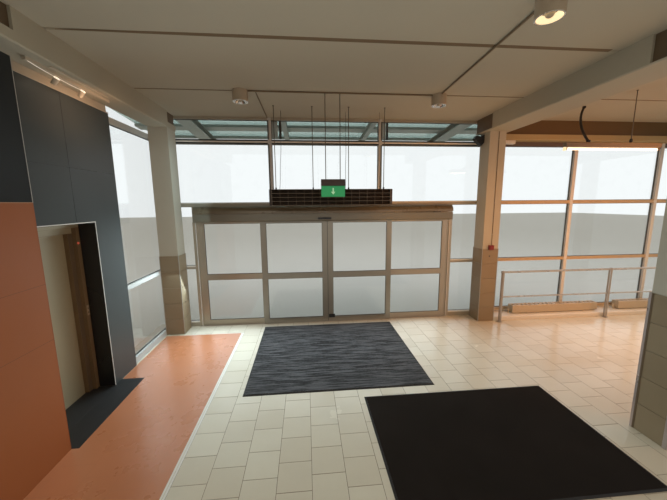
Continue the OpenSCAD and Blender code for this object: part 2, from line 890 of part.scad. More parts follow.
curtain_rod_xs = [-896, -277, 324, 930];
batten_rod_x = 4330;
batten_y = -1770;
batten_top = ceiling_h - batten_drop;
module rod(x, y, z0) {
  on_floor() translate([x, y, z0]) cylinder(d = rod_d, h = ceiling_h - z0, $fn = 24);
  on_floor() translate([x, y, ceiling_h - 6]) cylinder(d = 2.5 * rod_d, h = 6, $fn = 32);
}

module hanging_rods() {
  color("#6d685d") {
    for (x = curtain_rod_xs) rod(x, curtain_mid_y, curtain_z + curtain_h);
    for (s = [-1, 1]) rod(sign_x + s * sign_w * 0.3, -sign_y, sign_top);
    rod(batten_rod_x, batten_y, batten_top);
  }
}

// Canopy: middle line and width of each rafter
canopy_y1 = fascia_y + canopy_out;
canopy_x0 = left_face - canopy_side;
canopy_x1 = middle_line + edge_rafter_w / 2;
canopy_z = ceiling_h + canopy_rise;
rafters = [
  [left_face + edge_rafter_w / 2, edge_rafter_w], [mullion_left + 200, rafter_w],
  [mullion_right + 80, rafter_w], [middle_line, edge_rafter_w]
];

// Top of the rafters, which falls outwards
function canopy_top(y) = canopy_z - canopy_fall * (y - fascia_y) / canopy_out;

// Upright outline of a rafter from the fascia to its tip, set in by a plate's thickness
module rafter_outline(inset) {
  y0 = fascia_y + inset;
  y1 = canopy_y1 - inset;
  polygon([
    [y0, canopy_top(y0) - rafter_root + inset], [y0, canopy_top(y0) - inset],
    [y1, canopy_top(y1) - inset], [y1, canopy_top(y1) - rafter_tip + inset]
  ]);
}

// Sheet or bar across the rafters from y0 to y1, z above them and h thick
module across(x0, x1, y0, y1, z, h) {
  along_x(x0, x1) polygon([
    [y0, canopy_top(y0) + z], [y1, canopy_top(y1) + z],
    [y1, canopy_top(y1) + z + h], [y0, canopy_top(y0) + z + h]
  ]);
}

// Welded rafter: flanges and end plates round an upright web
module rafter(x, w) {
  flank = (w - rafter_t) / 2;
  difference() {
    along_x(x - w / 2, x + w / 2) rafter_outline(0);
    for (x0 = [x - w / 2 - eps, x + rafter_t / 2]) along_x(x0, x0 + flank + eps) rafter_outline(rafter_t);
  }
}

module canopy_rafters() {
  color("#c9cdc6") for (r = rafters) rafter(r[0], r[1]);
}

purlin_y = fascia_y + canopy_out * 0.62;
module canopy_purlins() {
  color("#6c7472") {
    across(canopy_x0, canopy_x1, purlin_y, purlin_y + purlin_w, canopy_bed, purlin_h);
    across(canopy_x0, canopy_x1, canopy_y1 - edge_purlin_w, canopy_y1, canopy_bed, purlin_h);
    across(canopy_x0, canopy_x1, fascia_y, fascia_y + edge_purlin_w, canopy_bed, purlin_h);
  }
}

// Panes from rafter to rafter, lying on the purlins
module canopy_glass() {
  ends = concat([canopy_x0], [for (r = rafters) r[0]]);
  color("#7fae98", 0.5) for (k = [0:len(ends) - 2]) across(
    ends[k] + canopy_joint / 2, ends[k + 1] - canopy_joint / 2, fascia_y, canopy_y1,
    purlin_h + 2 * canopy_bed, canopy_glass_t
  );
}

pelmet_z = beam_z - pelmet_h;
window_pitch = (right_line - middle_line) / window_n;
function window_post_x(k) = middle_line + k * window_pitch;
function window_light(k) = [window_post_x(k) + post_w / 2, window_post_x(k + 1) - post_w / 2, bite, bite];

module window_posts() {
  color("#cfc4ab") for (k = [1:window_n]) post(window_post_x(k), k == window_n ? 0 : plinth_h, pelmet_z);
}

module window_rails() {
  color("#cfc4ab") for (k = [0:window_n - 1]) {
    rail(window_light(k), plinth_h, light_rail_h);
    rail(window_light(k), light_rail_z - light_rail_h / 2, light_rail_h);
    rail(window_light(k), transom_z, transom_h);
    rail(window_light(k), pelmet_z - upper_h, upper_h);
  }
}

// Between the columns of the window bay, and on behind them to x1
bay_x0 = middle_line + column_w / 2;
bay_x1 = right_line - column_w / 2;
module behind_columns(z0, z1, x1) {
  slab_box([middle_line + post_w / 2, -frame_y, z0], [x1, frame_y, z1]);
}

module window_lintel() {
  color("#6b4a2a") {
    behind_columns(beam_z, ceiling_h, right_face);
    slab_box([beam_x1(1), -frame_y - lintel_d, beam_z], [beam_x0(2), 0, ceiling_h]);
  }
}

// Pelmet with a rounded lower edge
module window_pelmet() {
  front = -frame_y - pelmet_d;
  color("#c8a778") {
    behind_columns(pelmet_z, beam_z, right_face);
    along_x(bay_x0, bay_x1) {
      translate([front + pelmet_r, pelmet_z + pelmet_r]) circle(r = pelmet_r, $fn = 48);
      translate([front, pelmet_z + pelmet_r]) square([-front, pelmet_h - pelmet_r]);
      translate([front + pelmet_r, pelmet_z]) square([-front - pelmet_r, pelmet_h]);
    }
  }
}

// Plinth with a chamfered nose
module window_plinth() {
  color("#d9d5c9") {
    behind_columns(0, plinth_h, right_line - post_w / 2);
    along_x(bay_x0, bay_x1) polygon([
      [0, 0], [-plinth_d, 0], [-plinth_d, plinth_h - plinth_nose],
      [-plinth_d + plinth_nose, plinth_h], [0, plinth_h]
    ]);
  }
}

// Low convectors on the plinth: a slotted body on two feet, with pipes along the wall
convector_n = 2;
convector_x = 500;
convector_pitch = 2400;
convector_y = -300;
convector_foot = 15;
pipe_d = 20;
pipe_z = plinth_h + 35;
pipe_y = convector_y + convector_d + 30;
slot_w = 50;
slot_cut = 20;
module convector(x0) {
  z0 = plinth_h + convector_foot;
  top = z0 + convector_h;
  pitch = convector_l / slot_n;
  difference() {
    along_x(x0, x0 + convector_l) polygon([
      [convector_y, z0], [convector_y, top - 12], [convector_y + 12, top],
      [convector_y + convector_d, top], [convector_y + convector_d, z0]
    ]);
    for (k = [0:slot_n - 1]) on_floor()
      translate([x0 + (k + 0.5) * pitch, convector_y + convector_d / 2, top])
        cube([slot_w, convector_d / 2, 2 * slot_cut], center = true);
  }
  for (x = [x0 + convector_l / 6, x0 + convector_l * 5 / 6])
    slab_box([x - 20, convector_y + 10, plinth_h], [x + 20, convector_y + convector_d - 10, z0 + eps]);
}

// Angle valve at the left end of a convector, with a branch to the pipe
module radiator_valve(x) {
  on_floor() translate([x - 40, convector_y + convector_d / 2, plinth_h]) cylinder(d = 30, h = 95, $fn = 32);
  on_floor() translate([x - 40, convector_y + convector_d / 2, plinth_h + 60]) rotate([0, 90, 0])
    cylinder(d = pipe_d, h = 45, $fn = 24);
  on_floor() translate([x - 40, convector_y + convector_d / 2, pipe_z]) rotate([-90, 0, 0])
    cylinder(d = pipe_d, h = pipe_y - convector_y - convector_d / 2, $fn = 24);
}

module convectors() {
  color("#d8cdb6") {
    for (k = [0:convector_n - 1]) {
      convector(bay_x0 + convector_x + k * convector_pitch);
      radiator_valve(bay_x0 + convector_x + k * convector_pitch);
    }
    on_floor() translate([bay_x0, pipe_y, pipe_z]) rotate([0, 90, 0])
      cylinder(d = pipe_d, h = convector_x + convector_pitch * (convector_n - 1), $fn = 24);
  }
}

// Guard rail: posts of twin flats with collars, through which the two bars run
rail_y = -plinth_d - 60;
rail_start = 100;
rail_stop = 786;
collar_l = 30;
flat_gap = rail_d / 2 - 2;
base_w = 96;
rail_pitch = (bay_x1 - bay_x0 - rail_start - rail_stop) / (rail_post_n - 1);
function rail_post_x(k) = bay_x0 + rail_start + k * rail_pitch;
bars = [[low_rail_z, low_rail_d], [rail_z - rail_d / 2, rail_d]];

module bar_along(x0, x1, z, d) {
  on_floor() translate([x0, rail_y, z]) rotate([0, 90, 0]) cylinder(d = d, h = x1 - x0, $fn = 32);
}

module guard_rail() {
  color("#b8b4aa") for (k = [0:rail_post_n - 1]) difference() {
    union() {
      for (s = [-1, 1]) slab_box(
        [rail_post_x(k) - flat_w / 2, rail_y + s * (flat_gap + flat_t / 2) - flat_t / 2, 0],
        [rail_post_x(k) + flat_w / 2, rail_y + s * (flat_gap + flat_t / 2) + flat_t / 2, rail_z - rail_d / 2]
      );
      for (b = bars) bar_along(rail_post_x(k) - collar_l / 2, rail_post_x(k) + collar_l / 2, b[0], b[1] + 12);
      on_floor() translate([rail_post_x(k), rail_y, 0]) cylinder(d = base_w, h = flat_t, $fn = 48);
    }
    for (b = bars) bar_along(rail_post_x(k) - base_w, rail_post_x(k) + base_w, b[0], b[1]);
  }
}

module guard_rail_bars() {
  color("#b8b4aa") for (b = bars)
    bar_along(rail_post_x(0) - collar_l, rail_post_x(rail_post_n - 1) + collar_l, b[0], b[1]);
}

// Glazed return along the left side, from the corner post to the side wall
module return_rail(z, h) {
  on_floor() translate([corner_x, -frame_y, z + h / 2]) rotate([90, 0, 0])
    linear_extrude(return_l - frame_y) rotate(90) bar_section(h);
}

module return_rails() {
  color("#c5c0b2") {
    return_rail(0, sill_h);
    return_rail(light_rail_z - light_rail_h / 2, light_rail_h);
    return_rail(upper_z, upper_h);
    return_rail(ceiling_h - head_rail_h, head_rail_h);
  }
}

module return_pane(z0, z1) {
  slab_box([corner_x - glass_y, -return_l, z0 - bite], [corner_x + glass_y, -frame_y, z1 + bite]);
}

side_y0 = -side_door_y - side_door_w;
module side_wall() {
  color("#8f8b84") {
    slab_box([wall_x, -side_door_y, 0], [left_face, -return_l, ceiling_h]);
    slab_box([wall_x, roof_back, 0], [left_face, side_y0, ceiling_h]);
  }
}

module side_lintel() {
  color("#8f8b84") slab_box([wall_x, side_y0, side_door_h], [left_face, -side_door_y, ceiling_h]);
}

// Boards on the room side of the side wall, cut round the doorway
clad_top_z = beam_z - bulkhead_h;
module wall_cladding() {
  color("#33383b") along_x(left_face, left_face + clad_t) polygon([
    [-return_l, 0], [-return_l, clad_top_z], [-pier_y, clad_top_z], [-pier_y, 0],
    [side_y0, 0], [side_y0, side_door_h], [-side_door_y, side_door_h], [-side_door_y, 0]
  ]);
}

// Boards round the left back column, closed against the side wall
module pier_ring(z0, z1) {
  along_z(z0, z1) difference() {
    translate([left_face, roof_back]) square([pier_face - left_face, -pier_y - roof_back]);
    translate([left_face - eps, roof_back + clad_t])
      square([pier_face - clad_t - left_face + eps, -pier_y - roof_back - 2 * clad_t]);
  }
}

module pier_cladding() {
  color("#a4532f") pier_ring(0, clad_low_h);
}

module pier_top() {
  color("#33383b") pier_ring(clad_low_h, clad_top_z);
}

// Steel frame in the doorway, stepped back twice towards the leaf, with a call plate
frame_x0 = wall_x + 40;
frame_x1 = left_face - reveal_d;
plate_z = 1000;
plate_h = 130;
module frame_ring(outer, inner, x1) {
  along_x(frame_x0, x1) difference() {
    translate([side_y0 + outer, 0]) square([side_door_w - 2 * outer, side_door_h - outer]);
    translate([side_y0 + inner, -eps]) square([side_door_w - 2 * inner, side_door_h - inner + eps]);
  }
}

module side_door_frame() {
  plate_y = -side_door_y - outer_step / 2;
  color("#a9976f") {
    frame_ring(0, outer_step, frame_x1);
    frame_ring(outer_step, outer_step + inner_step, frame_x1 - step_set);
    slab_box([frame_x1, plate_y - 20, plate_z], [frame_x1 + 4, plate_y + 20, plate_z + plate_h]);
    for (z = [plate_z + plate_h * 0.3, plate_z + plate_h * 0.7])
      on_floor() translate([frame_x1, plate_y, z]) rotate([0, 90, 0]) cylinder(d = 18, h = 8, $fn = 32);
  }
}

module side_door_leaf() {
  steps = outer_step + inner_step;
  color("#b5a57c") slab_box(
    [frame_x0, side_y0 + steps, 0], [frame_x0 + side_leaf_t, -side_door_y - steps, side_door_h - steps]
  );
}

// Ceiling lights: middle of each; a drum with a reflector bowl round its lamp
lights = [[-1283, -1385], [1575, -1385], [1505, -3535]];
light_wall = 12;
lamp_d = 70;
module ceiling_light() {
  bowl = light_d / 2 - light_wall;
  rotate_extrude($fn = 64) {
    polygon([
      [0, light_h], [light_d / 2, light_h], [light_d / 2, 0], [bowl, 0],
      [bowl * 0.85, reflector_d * 0.6], [lamp_d / 2, reflector_d], [0, reflector_d]
    ]);
    translate([0, reflector_d - lamp_d / 2 + 10]) intersection() {
      circle(d = lamp_d, $fn = 48);
      translate([0, -lamp_d]) square([lamp_d, 2 * lamp_d]);
    }
  }
}

module ceiling_lights() {
  color("#c9c0ae") on_floor() for (p = lights) translate([p[0], p[1], ceiling_h - light_h]) ceiling_light();
}

// Batten light: a channel with end caps and a tube below
batten_x0 = 3300;
tube_drop = 22;
module batten_light() {
  z0 = batten_top - batten_h;
  color("#e6dccb") {
    along_x(batten_x0, batten_x0 + batten_l) translate([batten_y, z0]) polygon([
      [-batten_w / 2, 0], [batten_w / 2, 0],
      [batten_w / 2, batten_h - 15], [batten_w / 2 - 15, batten_h],
      [15 - batten_w / 2, batten_h], [-batten_w / 2, batten_h - 15]
    ]);
    for (x = [batten_x0, batten_x0 + batten_l - 25])
      slab_box([x, batten_y - 16, z0 - tube_drop - 12], [x + 25, batten_y + 16, z0 + eps]);
    on_floor() translate([batten_x0 + 20, batten_y, z0 - tube_drop]) rotate([0, 90, 0])
      cylinder(d = tube_d, h = batten_l - 40, $fn = 32);
  }
}

// Spot track under the left beam: a channel with two spots turned to the cladding
track_x = left_line + 27;
track_y0 = -2890;
track_d = 32;
spot_ys = [-2547, -2192];
spot_tilt = 35;
module spot_track() {
  color("#d8d4ca") {
    slab_box(
      [track_x - track_d / 2, track_y0, beam_z - track_d], [track_x + track_d / 2, track_y0 + track_l, beam_z]
    );
    for (y = spot_ys) on_floor() translate([track_x, y, beam_z - track_d]) {
      translate([0, 0, -30]) cylinder(d = 14, h = 30 + eps, $fn = 24);
      translate([0, 0, -34]) rotate([0, 180 + spot_tilt, 0]) difference() {
        translate([0, 0, -20]) cylinder(d = 48, h = 75, $fn = 40);
        translate([0, 0, 45]) cylinder(d = 40, h = 11, $fn = 40);
      }
    }
  }
}

// Call point on the middle column: a housing with a raised, bevelled front
call_w = 90;
call_z = 1455;
call_d = 45;
module call_point() {
  color("#a3281f") {
    slab_box(
      [middle_line - call_w / 2, column_face_y - call_d, call_z],
      [middle_line + call_w / 2, column_face_y, call_z + call_w]
    );
    on_floor() translate([middle_line, column_face_y - call_d, call_z + call_w / 2]) rotate([90, 0, 0])
      cylinder(d = call_w * 0.6, h = 6, $fn = 40);
  }
}

// Conduits: runs along the ceiling between the lights, and one down the column
run_y = -1400;
function light_edge(off) = 2 + sqrt(pow(light_d / 2, 2) - pow(max(0, abs(off) - conduit_d / 2), 2));
thin_x = -1075;
drop_x = middle_line + 17;
module tube(a, b, d) {
  v = b - a;
  translate(a) rotate([0, acos(v[2] / norm(v)), atan2(v[1], v[0])]) cylinder(d = d, h = norm(v), $fn = 24);
}

// Round bar bent to the circle through three points
module arc_through(p, d) {
  n = cross(p[1] - p[0], p[2] - p[0]);
  tilt = acos(n[2] / norm(n));
  turn = atan2(n[1], n[0]);
  u = [cos(tilt) * cos(turn), cos(tilt) * sin(turn), -sin(tilt)];
  v = [-sin(turn), cos(turn), 0];
  b = [(p[1] - p[0]) * u, (p[1] - p[0]) * v];
  c = [(p[2] - p[0]) * u, (p[2] - p[0]) * v];
  k = 2 * (b[0] * c[1] - b[1] * c[0]);
  m = [(c[1] * (b * b) - b[1] * (c * c)) / k, (b[0] * (c * c) - c[0] * (b * b)) / k];
  from = atan2(-m[1], -m[0]);
  to = atan2(c[1] - m[1], c[0] - m[0]);
  translate(p[0]) rotate([0, tilt, turn]) translate([m[0], m[1], 0]) rotate([0, 0, from])
    rotate_extrude(angle = (to - from + 360) % 360, $fn = 180) translate([norm(m), 0]) circle(d = d, $fn = 24);
}

// Bent conduit from the ceiling to the batten light, with a socket at each end
bend_d = 34;
bend_sag = [-84, 0, -22];
socket_h = 30;
bend_ends = [
  [4227, -1033, ceiling_h - socket_h / 2],
  [batten_x0 + 357, batten_y, batten_top + socket_h / 2]
];

module bent_conduit() {
  arc_through([bend_ends[0], (bend_ends[0] + bend_ends[1]) / 2 + bend_sag, bend_ends[1]], bend_d);
  for (p = bend_ends) translate(p - [0, 0, socket_h / 2]) cylinder(d = bend_d * 1.5, h = socket_h, $fn = 32);
}

module conduits() {
  z = ceiling_h - conduit_d / 2;
  color("#8a8375") on_floor() {
    tube(
      [lights[0][0] + light_edge(run_y - lights[0][1]), run_y, z],
      [lights[1][0] - light_edge(run_y - lights[1][1]), run_y, z], conduit_d
    );
    tube(
      [lights[1][0], lights[1][1] - light_edge(0), z],
      [lights[2][0], lights[2][1] + light_edge(0), z], conduit_d
    );
    tube(
      [thin_x, run_y + conduit_d / 2, z + conduit_d / 8],
      [thin_x, -frame_y, z + conduit_d / 8], conduit_d * 0.75
    );
    translate([drop_x, column_face_y - conduit_d / 4, call_z + call_w])
      cylinder(d = conduit_d / 2, h = beam_z - call_z - call_w, $fn = 24);
  }
  color("#1c1c1e") on_floor() bent_conduit();
}

floor_slab();
door_mats();
columns();
column_heads();
beams();
roof_planks();
fascia();
front_posts();
front_rails();
fixed_glass();
door_posts();
door_track();
header_rail();
header_cover();
header_lids();
door_drive();
screen_frames();
left_leaf_frame();
left_leaf_glass();
left_leaf_hangers();
right_leaf_frame();
right_leaf_glass();
right_leaf_hangers();
detectors();
air_curtain();
air_curtain_grille();
exit_sign();
hanging_rods();
canopy_rafters();
canopy_purlins();
canopy_glass();
window_posts();
window_rails();
window_lintel();
window_pelmet();
window_plinth();
convectors();
guard_rail();
guard_rail_bars();
return_rails();
side_wall();
side_lintel();
wall_cladding();
pier_cladding();
pier_top();
side_door_frame();
side_door_leaf();
ceiling_lights();
batten_light();
spot_track();
call_point();
conduits();
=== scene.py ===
"""Looks of a supermarket's entrance bay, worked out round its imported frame.

Metres throughout. X runs along the front, Y points out of the building, Z is up.
FLOOR is the height of the tiled floor above the ground, and CEILING that of the roof
planks above the tiled floor.
"""
import math

import bpy
import numpy as np
from mathutils import Matrix, Vector


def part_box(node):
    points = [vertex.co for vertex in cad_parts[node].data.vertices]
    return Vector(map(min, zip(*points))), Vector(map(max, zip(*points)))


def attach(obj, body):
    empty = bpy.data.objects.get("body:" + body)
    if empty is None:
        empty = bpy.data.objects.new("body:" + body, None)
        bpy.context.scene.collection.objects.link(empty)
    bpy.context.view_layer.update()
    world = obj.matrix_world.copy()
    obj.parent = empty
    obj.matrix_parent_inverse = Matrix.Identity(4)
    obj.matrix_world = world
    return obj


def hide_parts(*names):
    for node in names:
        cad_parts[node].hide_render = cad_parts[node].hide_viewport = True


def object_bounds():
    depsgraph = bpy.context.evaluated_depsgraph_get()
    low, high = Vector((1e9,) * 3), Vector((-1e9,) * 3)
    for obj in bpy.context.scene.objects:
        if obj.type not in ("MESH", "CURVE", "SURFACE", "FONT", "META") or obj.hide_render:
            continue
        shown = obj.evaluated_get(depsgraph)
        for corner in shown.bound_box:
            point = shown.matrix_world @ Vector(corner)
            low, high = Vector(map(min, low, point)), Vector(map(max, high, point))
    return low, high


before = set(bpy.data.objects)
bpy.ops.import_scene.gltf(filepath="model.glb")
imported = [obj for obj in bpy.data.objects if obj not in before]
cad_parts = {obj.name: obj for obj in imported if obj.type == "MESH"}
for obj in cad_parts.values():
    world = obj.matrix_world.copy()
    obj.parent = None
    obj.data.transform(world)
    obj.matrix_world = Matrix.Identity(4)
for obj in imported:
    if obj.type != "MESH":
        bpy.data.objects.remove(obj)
cad_low, cad_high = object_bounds()

FLOOR = 0.150
CEILING = 3.93
TILE = 0.300
JOINT = 0.004
HALL = "building"
LEAVES = {"left_leaf": -1, "right_leaf": 1}
chance = np.random.default_rng(7)


def low(node):
    """Lowest corner of a node of the frame."""
    return np.array(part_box(node)[0])


def high(node):
    """Highest corner of a node of the frame."""
    return np.array(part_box(node)[1])


# Camera and light

# Viewpoint in metres, its turns in degrees, width of the sensor in millimetres, and focal
# length as a share of the picture's width
VIEW_POINT = (-0.4107, -5.9739, 2.5219)
VIEW_ANGLES = (5.11375, 8.71716, 0.47275)
SENSOR = 36
LENS_TO_WIDTH = 303.744 / 667


def place_camera():
    """Sets the camera at the photograph's viewpoint, turned right, down and a little over."""
    yaw, pitch, roll = (math.radians(a) for a in VIEW_ANGLES)
    ahead = Vector((math.sin(yaw) * math.cos(pitch), math.cos(yaw) * math.cos(pitch), -math.sin(pitch)))
    right = Vector((math.cos(yaw), -math.sin(yaw), 0))
    down = ahead.cross(right)
    right, down = (
        math.cos(roll) * right + math.sin(roll) * down,
        math.cos(roll) * down - math.sin(roll) * right,
    )
    data = bpy.data.cameras.new("viewpoint")
    data.sensor_width = SENSOR
    data.sensor_fit = "HORIZONTAL"
    data.lens = LENS_TO_WIDTH * SENSOR
    data.clip_start, data.clip_end = 0.05, 200
    camera = bpy.data.objects.new("viewpoint", data)
    bpy.context.scene.collection.objects.link(camera)
    turn = Matrix((right, -down, -ahead)).transposed().to_4x4()
    camera.matrix_world = Matrix.Translation(VIEW_POINT) @ turn
    bpy.context.scene.camera = camera


def place_lamp(name, place, aim, size, power, colour, spread=180):
    """Hangs a soft oblong lamp, itself unseen, that looks from its place to its aim."""
    data = bpy.data.lights.new(name, "AREA")
    data.shape = "RECTANGLE"
    data.size, data.size_y = size
    data.energy = power
    data.color = colour
    data.spread = math.radians(spread)
    lamp = bpy.data.objects.new(name, data)
    bpy.context.scene.collection.objects.link(lamp)
    lamp.location = place
    lamp.rotation_euler = (Vector(aim) - Vector(place)).to_track_quat("-Z", "Y").to_euler()
    for ray in ("camera", "glossy", "transmission"):
        setattr(lamp, "visible_" + ray, False)


def light_world(strength):
    """Lights the object with an even warm sky, which rays from the camera, off shiny things
    and through glass see as white."""
    world = bpy.data.worlds.new("sky")
    bpy.context.scene.world = world
    world.use_nodes = True
    tree = world.node_tree
    tree.nodes.clear()
    path = tree.nodes.new("ShaderNodeLightPath")
    out = tree.nodes.new("ShaderNodeOutputWorld")
    mix = tree.nodes.new("ShaderNodeMixShader")
    seen = path.outputs["Is Camera Ray"]
    for ray in ("Is Glossy Ray", "Is Transmission Ray"):
        join = tree.nodes.new("ShaderNodeMath")
        join.operation = "MAXIMUM"
        tree.links.new(seen, join.inputs[0])
        tree.links.new(path.outputs[ray], join.inputs[1])
        seen = join.outputs[0]
    warm_light, white = (1.0, 0.89, 0.70, 1), (0.97, 0.985, 1, 1)
    for slot, colour, level in ((1, warm_light, strength), (2, white, 1.0)):
        shade = tree.nodes.new("ShaderNodeBackground")
        shade.inputs["Color"].default_value = colour
        shade.inputs["Strength"].default_value = level
        tree.links.new(shade.outputs[0], mix.inputs[slot])
    tree.links.new(seen, mix.inputs[0])
    tree.links.new(mix.outputs[0], out.inputs[0])


# Materials


class Finish:
    """A node material that starts as one shader on the piece's own coordinates."""

    def __init__(self, name, colour, rough, metal=0.0):
        self.material = bpy.data.materials.new(name)
        self.material.use_nodes = True
        self.material.diffuse_color = (*colour, 1)
        self.tree = self.material.node_tree
        self.shader = self.tree.nodes["Principled BSDF"]
        self.colour = colour
        self.rough = rough
        self.shader.inputs["Base Color"].default_value = (*colour, 1)
        self.shader.inputs["Roughness"].default_value = rough
        self.shader.inputs["Metallic"].default_value = metal
        self.place = self.node("ShaderNodeTexCoord").outputs["Object"]

    def node(self, kind, links=None, **settings):
        """A new node, with its inputs linked or set and its settings given."""
        made = self.tree.nodes.new(kind)
        for key, value in settings.items():
            setattr(made, key, value)
        for key, value in (links or {}).items():
            if isinstance(value, bpy.types.NodeSocket):
                self.tree.links.new(value, made.inputs[key])
            else:
                made.inputs[key].default_value = value
        return made

    def axis(self, letter):
        """One of the piece's coordinates, in metres."""
        return self.node("ShaderNodeSeparateXYZ", {0: self.place}).outputs[letter]

    def stretched(self, stretch, turn=(0, 0, 0)):
        """The piece's coordinates, scaled along each axis and turned."""
        return self.node(
            "ShaderNodeMapping", {"Vector": self.place, "Scale": stretch, "Rotation": turn}
        ).outputs[0]

    def noise(self, scale, detail, stretch=(1, 1, 1), rough=0.55):
        """Cloudy value from 0 to 1, about 1/scale metres across."""
        return self.node(
            "ShaderNodeTexNoise",
            {"Vector": self.stretched(stretch), "Scale": scale, "Detail": detail, "Roughness": rough},
        ).outputs["Fac"]

    def span(self, value, start, end, to_start=0.0, to_end=1.0):
        """The value carried from one span to another, held at both ends."""
        return self.node(
            "ShaderNodeMapRange",
            {0: value, 1: start, 2: end, 3: to_start, 4: to_end},
        ).outputs[0]

    def tone(self, gain, warm=0.0):
        """The finish's colour made lighter or darker, and warmer."""
        r, g, b = self.colour
        return (min(r * gain * (1 + warm), 1), min(g * gain, 1), min(b * gain * (1 - warm), 1), 1)

    def blend(self, share, first, second):
        """Colour that goes from first to second as share goes from 0 to 1."""
        made = self.node("ShaderNodeMix", {0: share, 6: first, 7: second}, data_type="RGBA")
        return made.outputs[2]

    def math(self, operation, first, second):
        """One sum worked out by the material."""
        return self.node("ShaderNodeMath", {0: first, 1: second}, operation=operation).outputs[0]

    def weighed(self, *pairs):
        """Sum of values, each times its own weight."""
        products = [self.math("MULTIPLY", value, weight) for value, weight in pairs]
        total = products.pop()
        while products:
            total = self.math("ADD", products.pop(), total)
        return total

    def marked(self, body, marks, share, gain, warm=0.0):
        """A colour with marks over it, in another tone of the finish."""
        return self.blend(self.math("MULTIPLY", marks, share), body, self.tone(gain, warm))

    def paint(self, colour):
        """Links the shader's colour."""
        self.tree.links.new(colour, self.shader.inputs["Base Color"])

    def gloss(self, value, start=0.3, end=0.7, spread=0.1):
        """Roughness that wanders round the finish's own by the spread."""
        rough = self.span(value, start, end, max(self.rough - spread, 0.02), min(self.rough + spread, 1))
        self.tree.links.new(rough, self.shader.inputs["Roughness"])

    def raise_by(self, height, strength, distance):
        """Relief of the surface, by a height from 0 to 1 times the distance."""
        links = {"Height": height, "Strength": strength, "Distance": distance}
        bent = self.node("ShaderNodeBump", links).outputs[0]
        self.tree.links.new(bent, self.shader.inputs["Normal"])

    def give(self, inputs):
        """Constants set straight on the shader."""
        for key, value in inputs.items():
            self.shader.inputs[key].default_value = value


def painted(name, colour, rough, cloud=1.3, spread=0.07, orange_peel=220.0, marks=0.12):
    """Roller or spray paint: broad clouds, faint scuffs and a fine orange peel."""
    f = Finish(name, colour, rough)
    broad = f.noise(cloud, 5)
    scuffs = f.span(f.noise(cloud * 9, 8, rough=0.7), 0.58, 0.78)
    cloudy = f.blend(broad, f.tone(1 - spread), f.tone(1 + spread, 0.01))
    f.paint(f.marked(cloudy, scuffs, marks, 0.62, 0.03))
    f.gloss(broad, spread=0.08)
    f.raise_by(f.noise(orange_peel, 2), 0.12, 0.001)
    return f.material


def anodised(name, colour, along, rough=0.36, metal=0.6, smears=0.08):
    """Drawn metal: hair lines along one axis, broad clouds and finger marks in the gloss."""
    f = Finish(name, colour, rough, metal)
    stretch = [420.0, 420.0, 420.0]
    stretch["XYZ".index(along)] = 0.5
    lines = f.noise(1.0, 2, stretch)
    f.paint(f.blend(f.weighed((lines, 0.25), (f.noise(1.3, 3), 0.75)), f.tone(0.95), f.tone(1.05)))
    f.gloss(f.noise(5, 6), 0.35, 0.65, smears)
    f.raise_by(lines, 0.02, 0.0002)
    return f.material


def laminate(name, colour, rough, smears=0.12):
    """Smooth board: nearly even colour, smeared gloss and a very fine grain."""
    f = Finish(name, colour, rough)
    f.paint(f.blend(f.noise(0.8, 3), f.tone(0.95), f.tone(1.05, 0.02)))
    f.gloss(f.noise(1.6, 2, (1, 1, 0.5)), 0.25, 0.75, smears)
    f.raise_by(f.noise(350, 2), 0.05, 0.0004)
    return f.material


def glazed(name, colour, rough, spread, specks, clouds=7.0):
    """Glazed tile: each tile has its own shade, with clouds, specks, worn patches and a wavy
    gloss."""
    f = Finish(name, colour, rough)
    own = f.node("ShaderNodeAttribute", attribute_name="own_shade").outputs["Fac"]
    cloud = f.noise(clouds, 5)
    worn = f.span(f.noise(1.2, 6, rough=0.62), 0.45, 0.75)
    shade = f.weighed((own, 0.6), (cloud, 0.4))
    body = f.blend(shade, f.tone(1 - spread, 0.02), f.tone(1 + spread, -0.01))
    body = f.marked(body, f.span(f.noise(160, 3), 0.62, 0.75), specks, 0.6, 0.04)
    f.paint(f.marked(body, worn, 0.22, 0.78, 0.02))
    f.gloss(f.weighed((worn, 0.6), (cloud, 0.4)), 0.1, 0.8)
    f.raise_by(f.noise(14, 2), 0.08, 0.003)
    return f.material


def pile(name, colour, fibre, flecks):
    """Looped pile: dark fibres with paler flecks, trodden in patches, and no shine."""
    f = Finish(name, colour, 0.95)
    fibres = f.noise(fibre, 4, (1, 0.35, 1))
    body = f.blend(f.noise(2.4, 6), f.tone(0.72), f.tone(1.35))
    f.paint(f.marked(body, f.span(fibres, 0.52, 0.72), flecks, 3.0))
    f.give({"Specular IOR Level": 0.15})
    f.raise_by(fibres, 0.5, 0.003)
    return f.material


def ribbed_pile(name, colour):
    """Looped pile on ribs: the ribs' crowns carry a painted sheen, pale in long rows, and shine a little.
    """
    f = Finish(name, colour, 0.6)
    crown = f.span(f.axis("Z"), FLOOR + 0.0115, FLOOR + 0.0140)
    fibres = f.noise(380, 4, (1, 0.5, 1))
    rows = f.span(f.noise(38, 3, (0.07, 1, 1), 0.62), 0.44, 0.58)
    # Painted sheen: the crowns are lightened in long rows as light caught on the rib tops, with fibre
    # flecks mixed in
    pale = f.weighed((fibres, 0.12), (f.noise(2.6, 6), 0.13), (rows, 0.75))
    f.paint(f.blend(f.math("MULTIPLY", crown, pale), f.tone(0.14), f.tone(4.2)))
    f.gloss(f.noise(30, 4), spread=0.12)
    f.raise_by(fibres, 0.35, 0.002)
    return f.material


def clear_glass(name, colour, rough=0.0):
    """Clear sheet: light passes straight on, with faint smears and a faint wave in what it
    mirrors."""
    f = Finish(name, colour, rough)
    f.give({"Transmission Weight": 1.0, "IOR": 1.45})
    f.raise_by(f.noise(1.4, 2), 0.02, 0.01)
    f.paint(f.marked((*colour, 1), f.span(f.noise(5, 6), 0.5, 0.8), 0.35, 0.93))
    return f.material


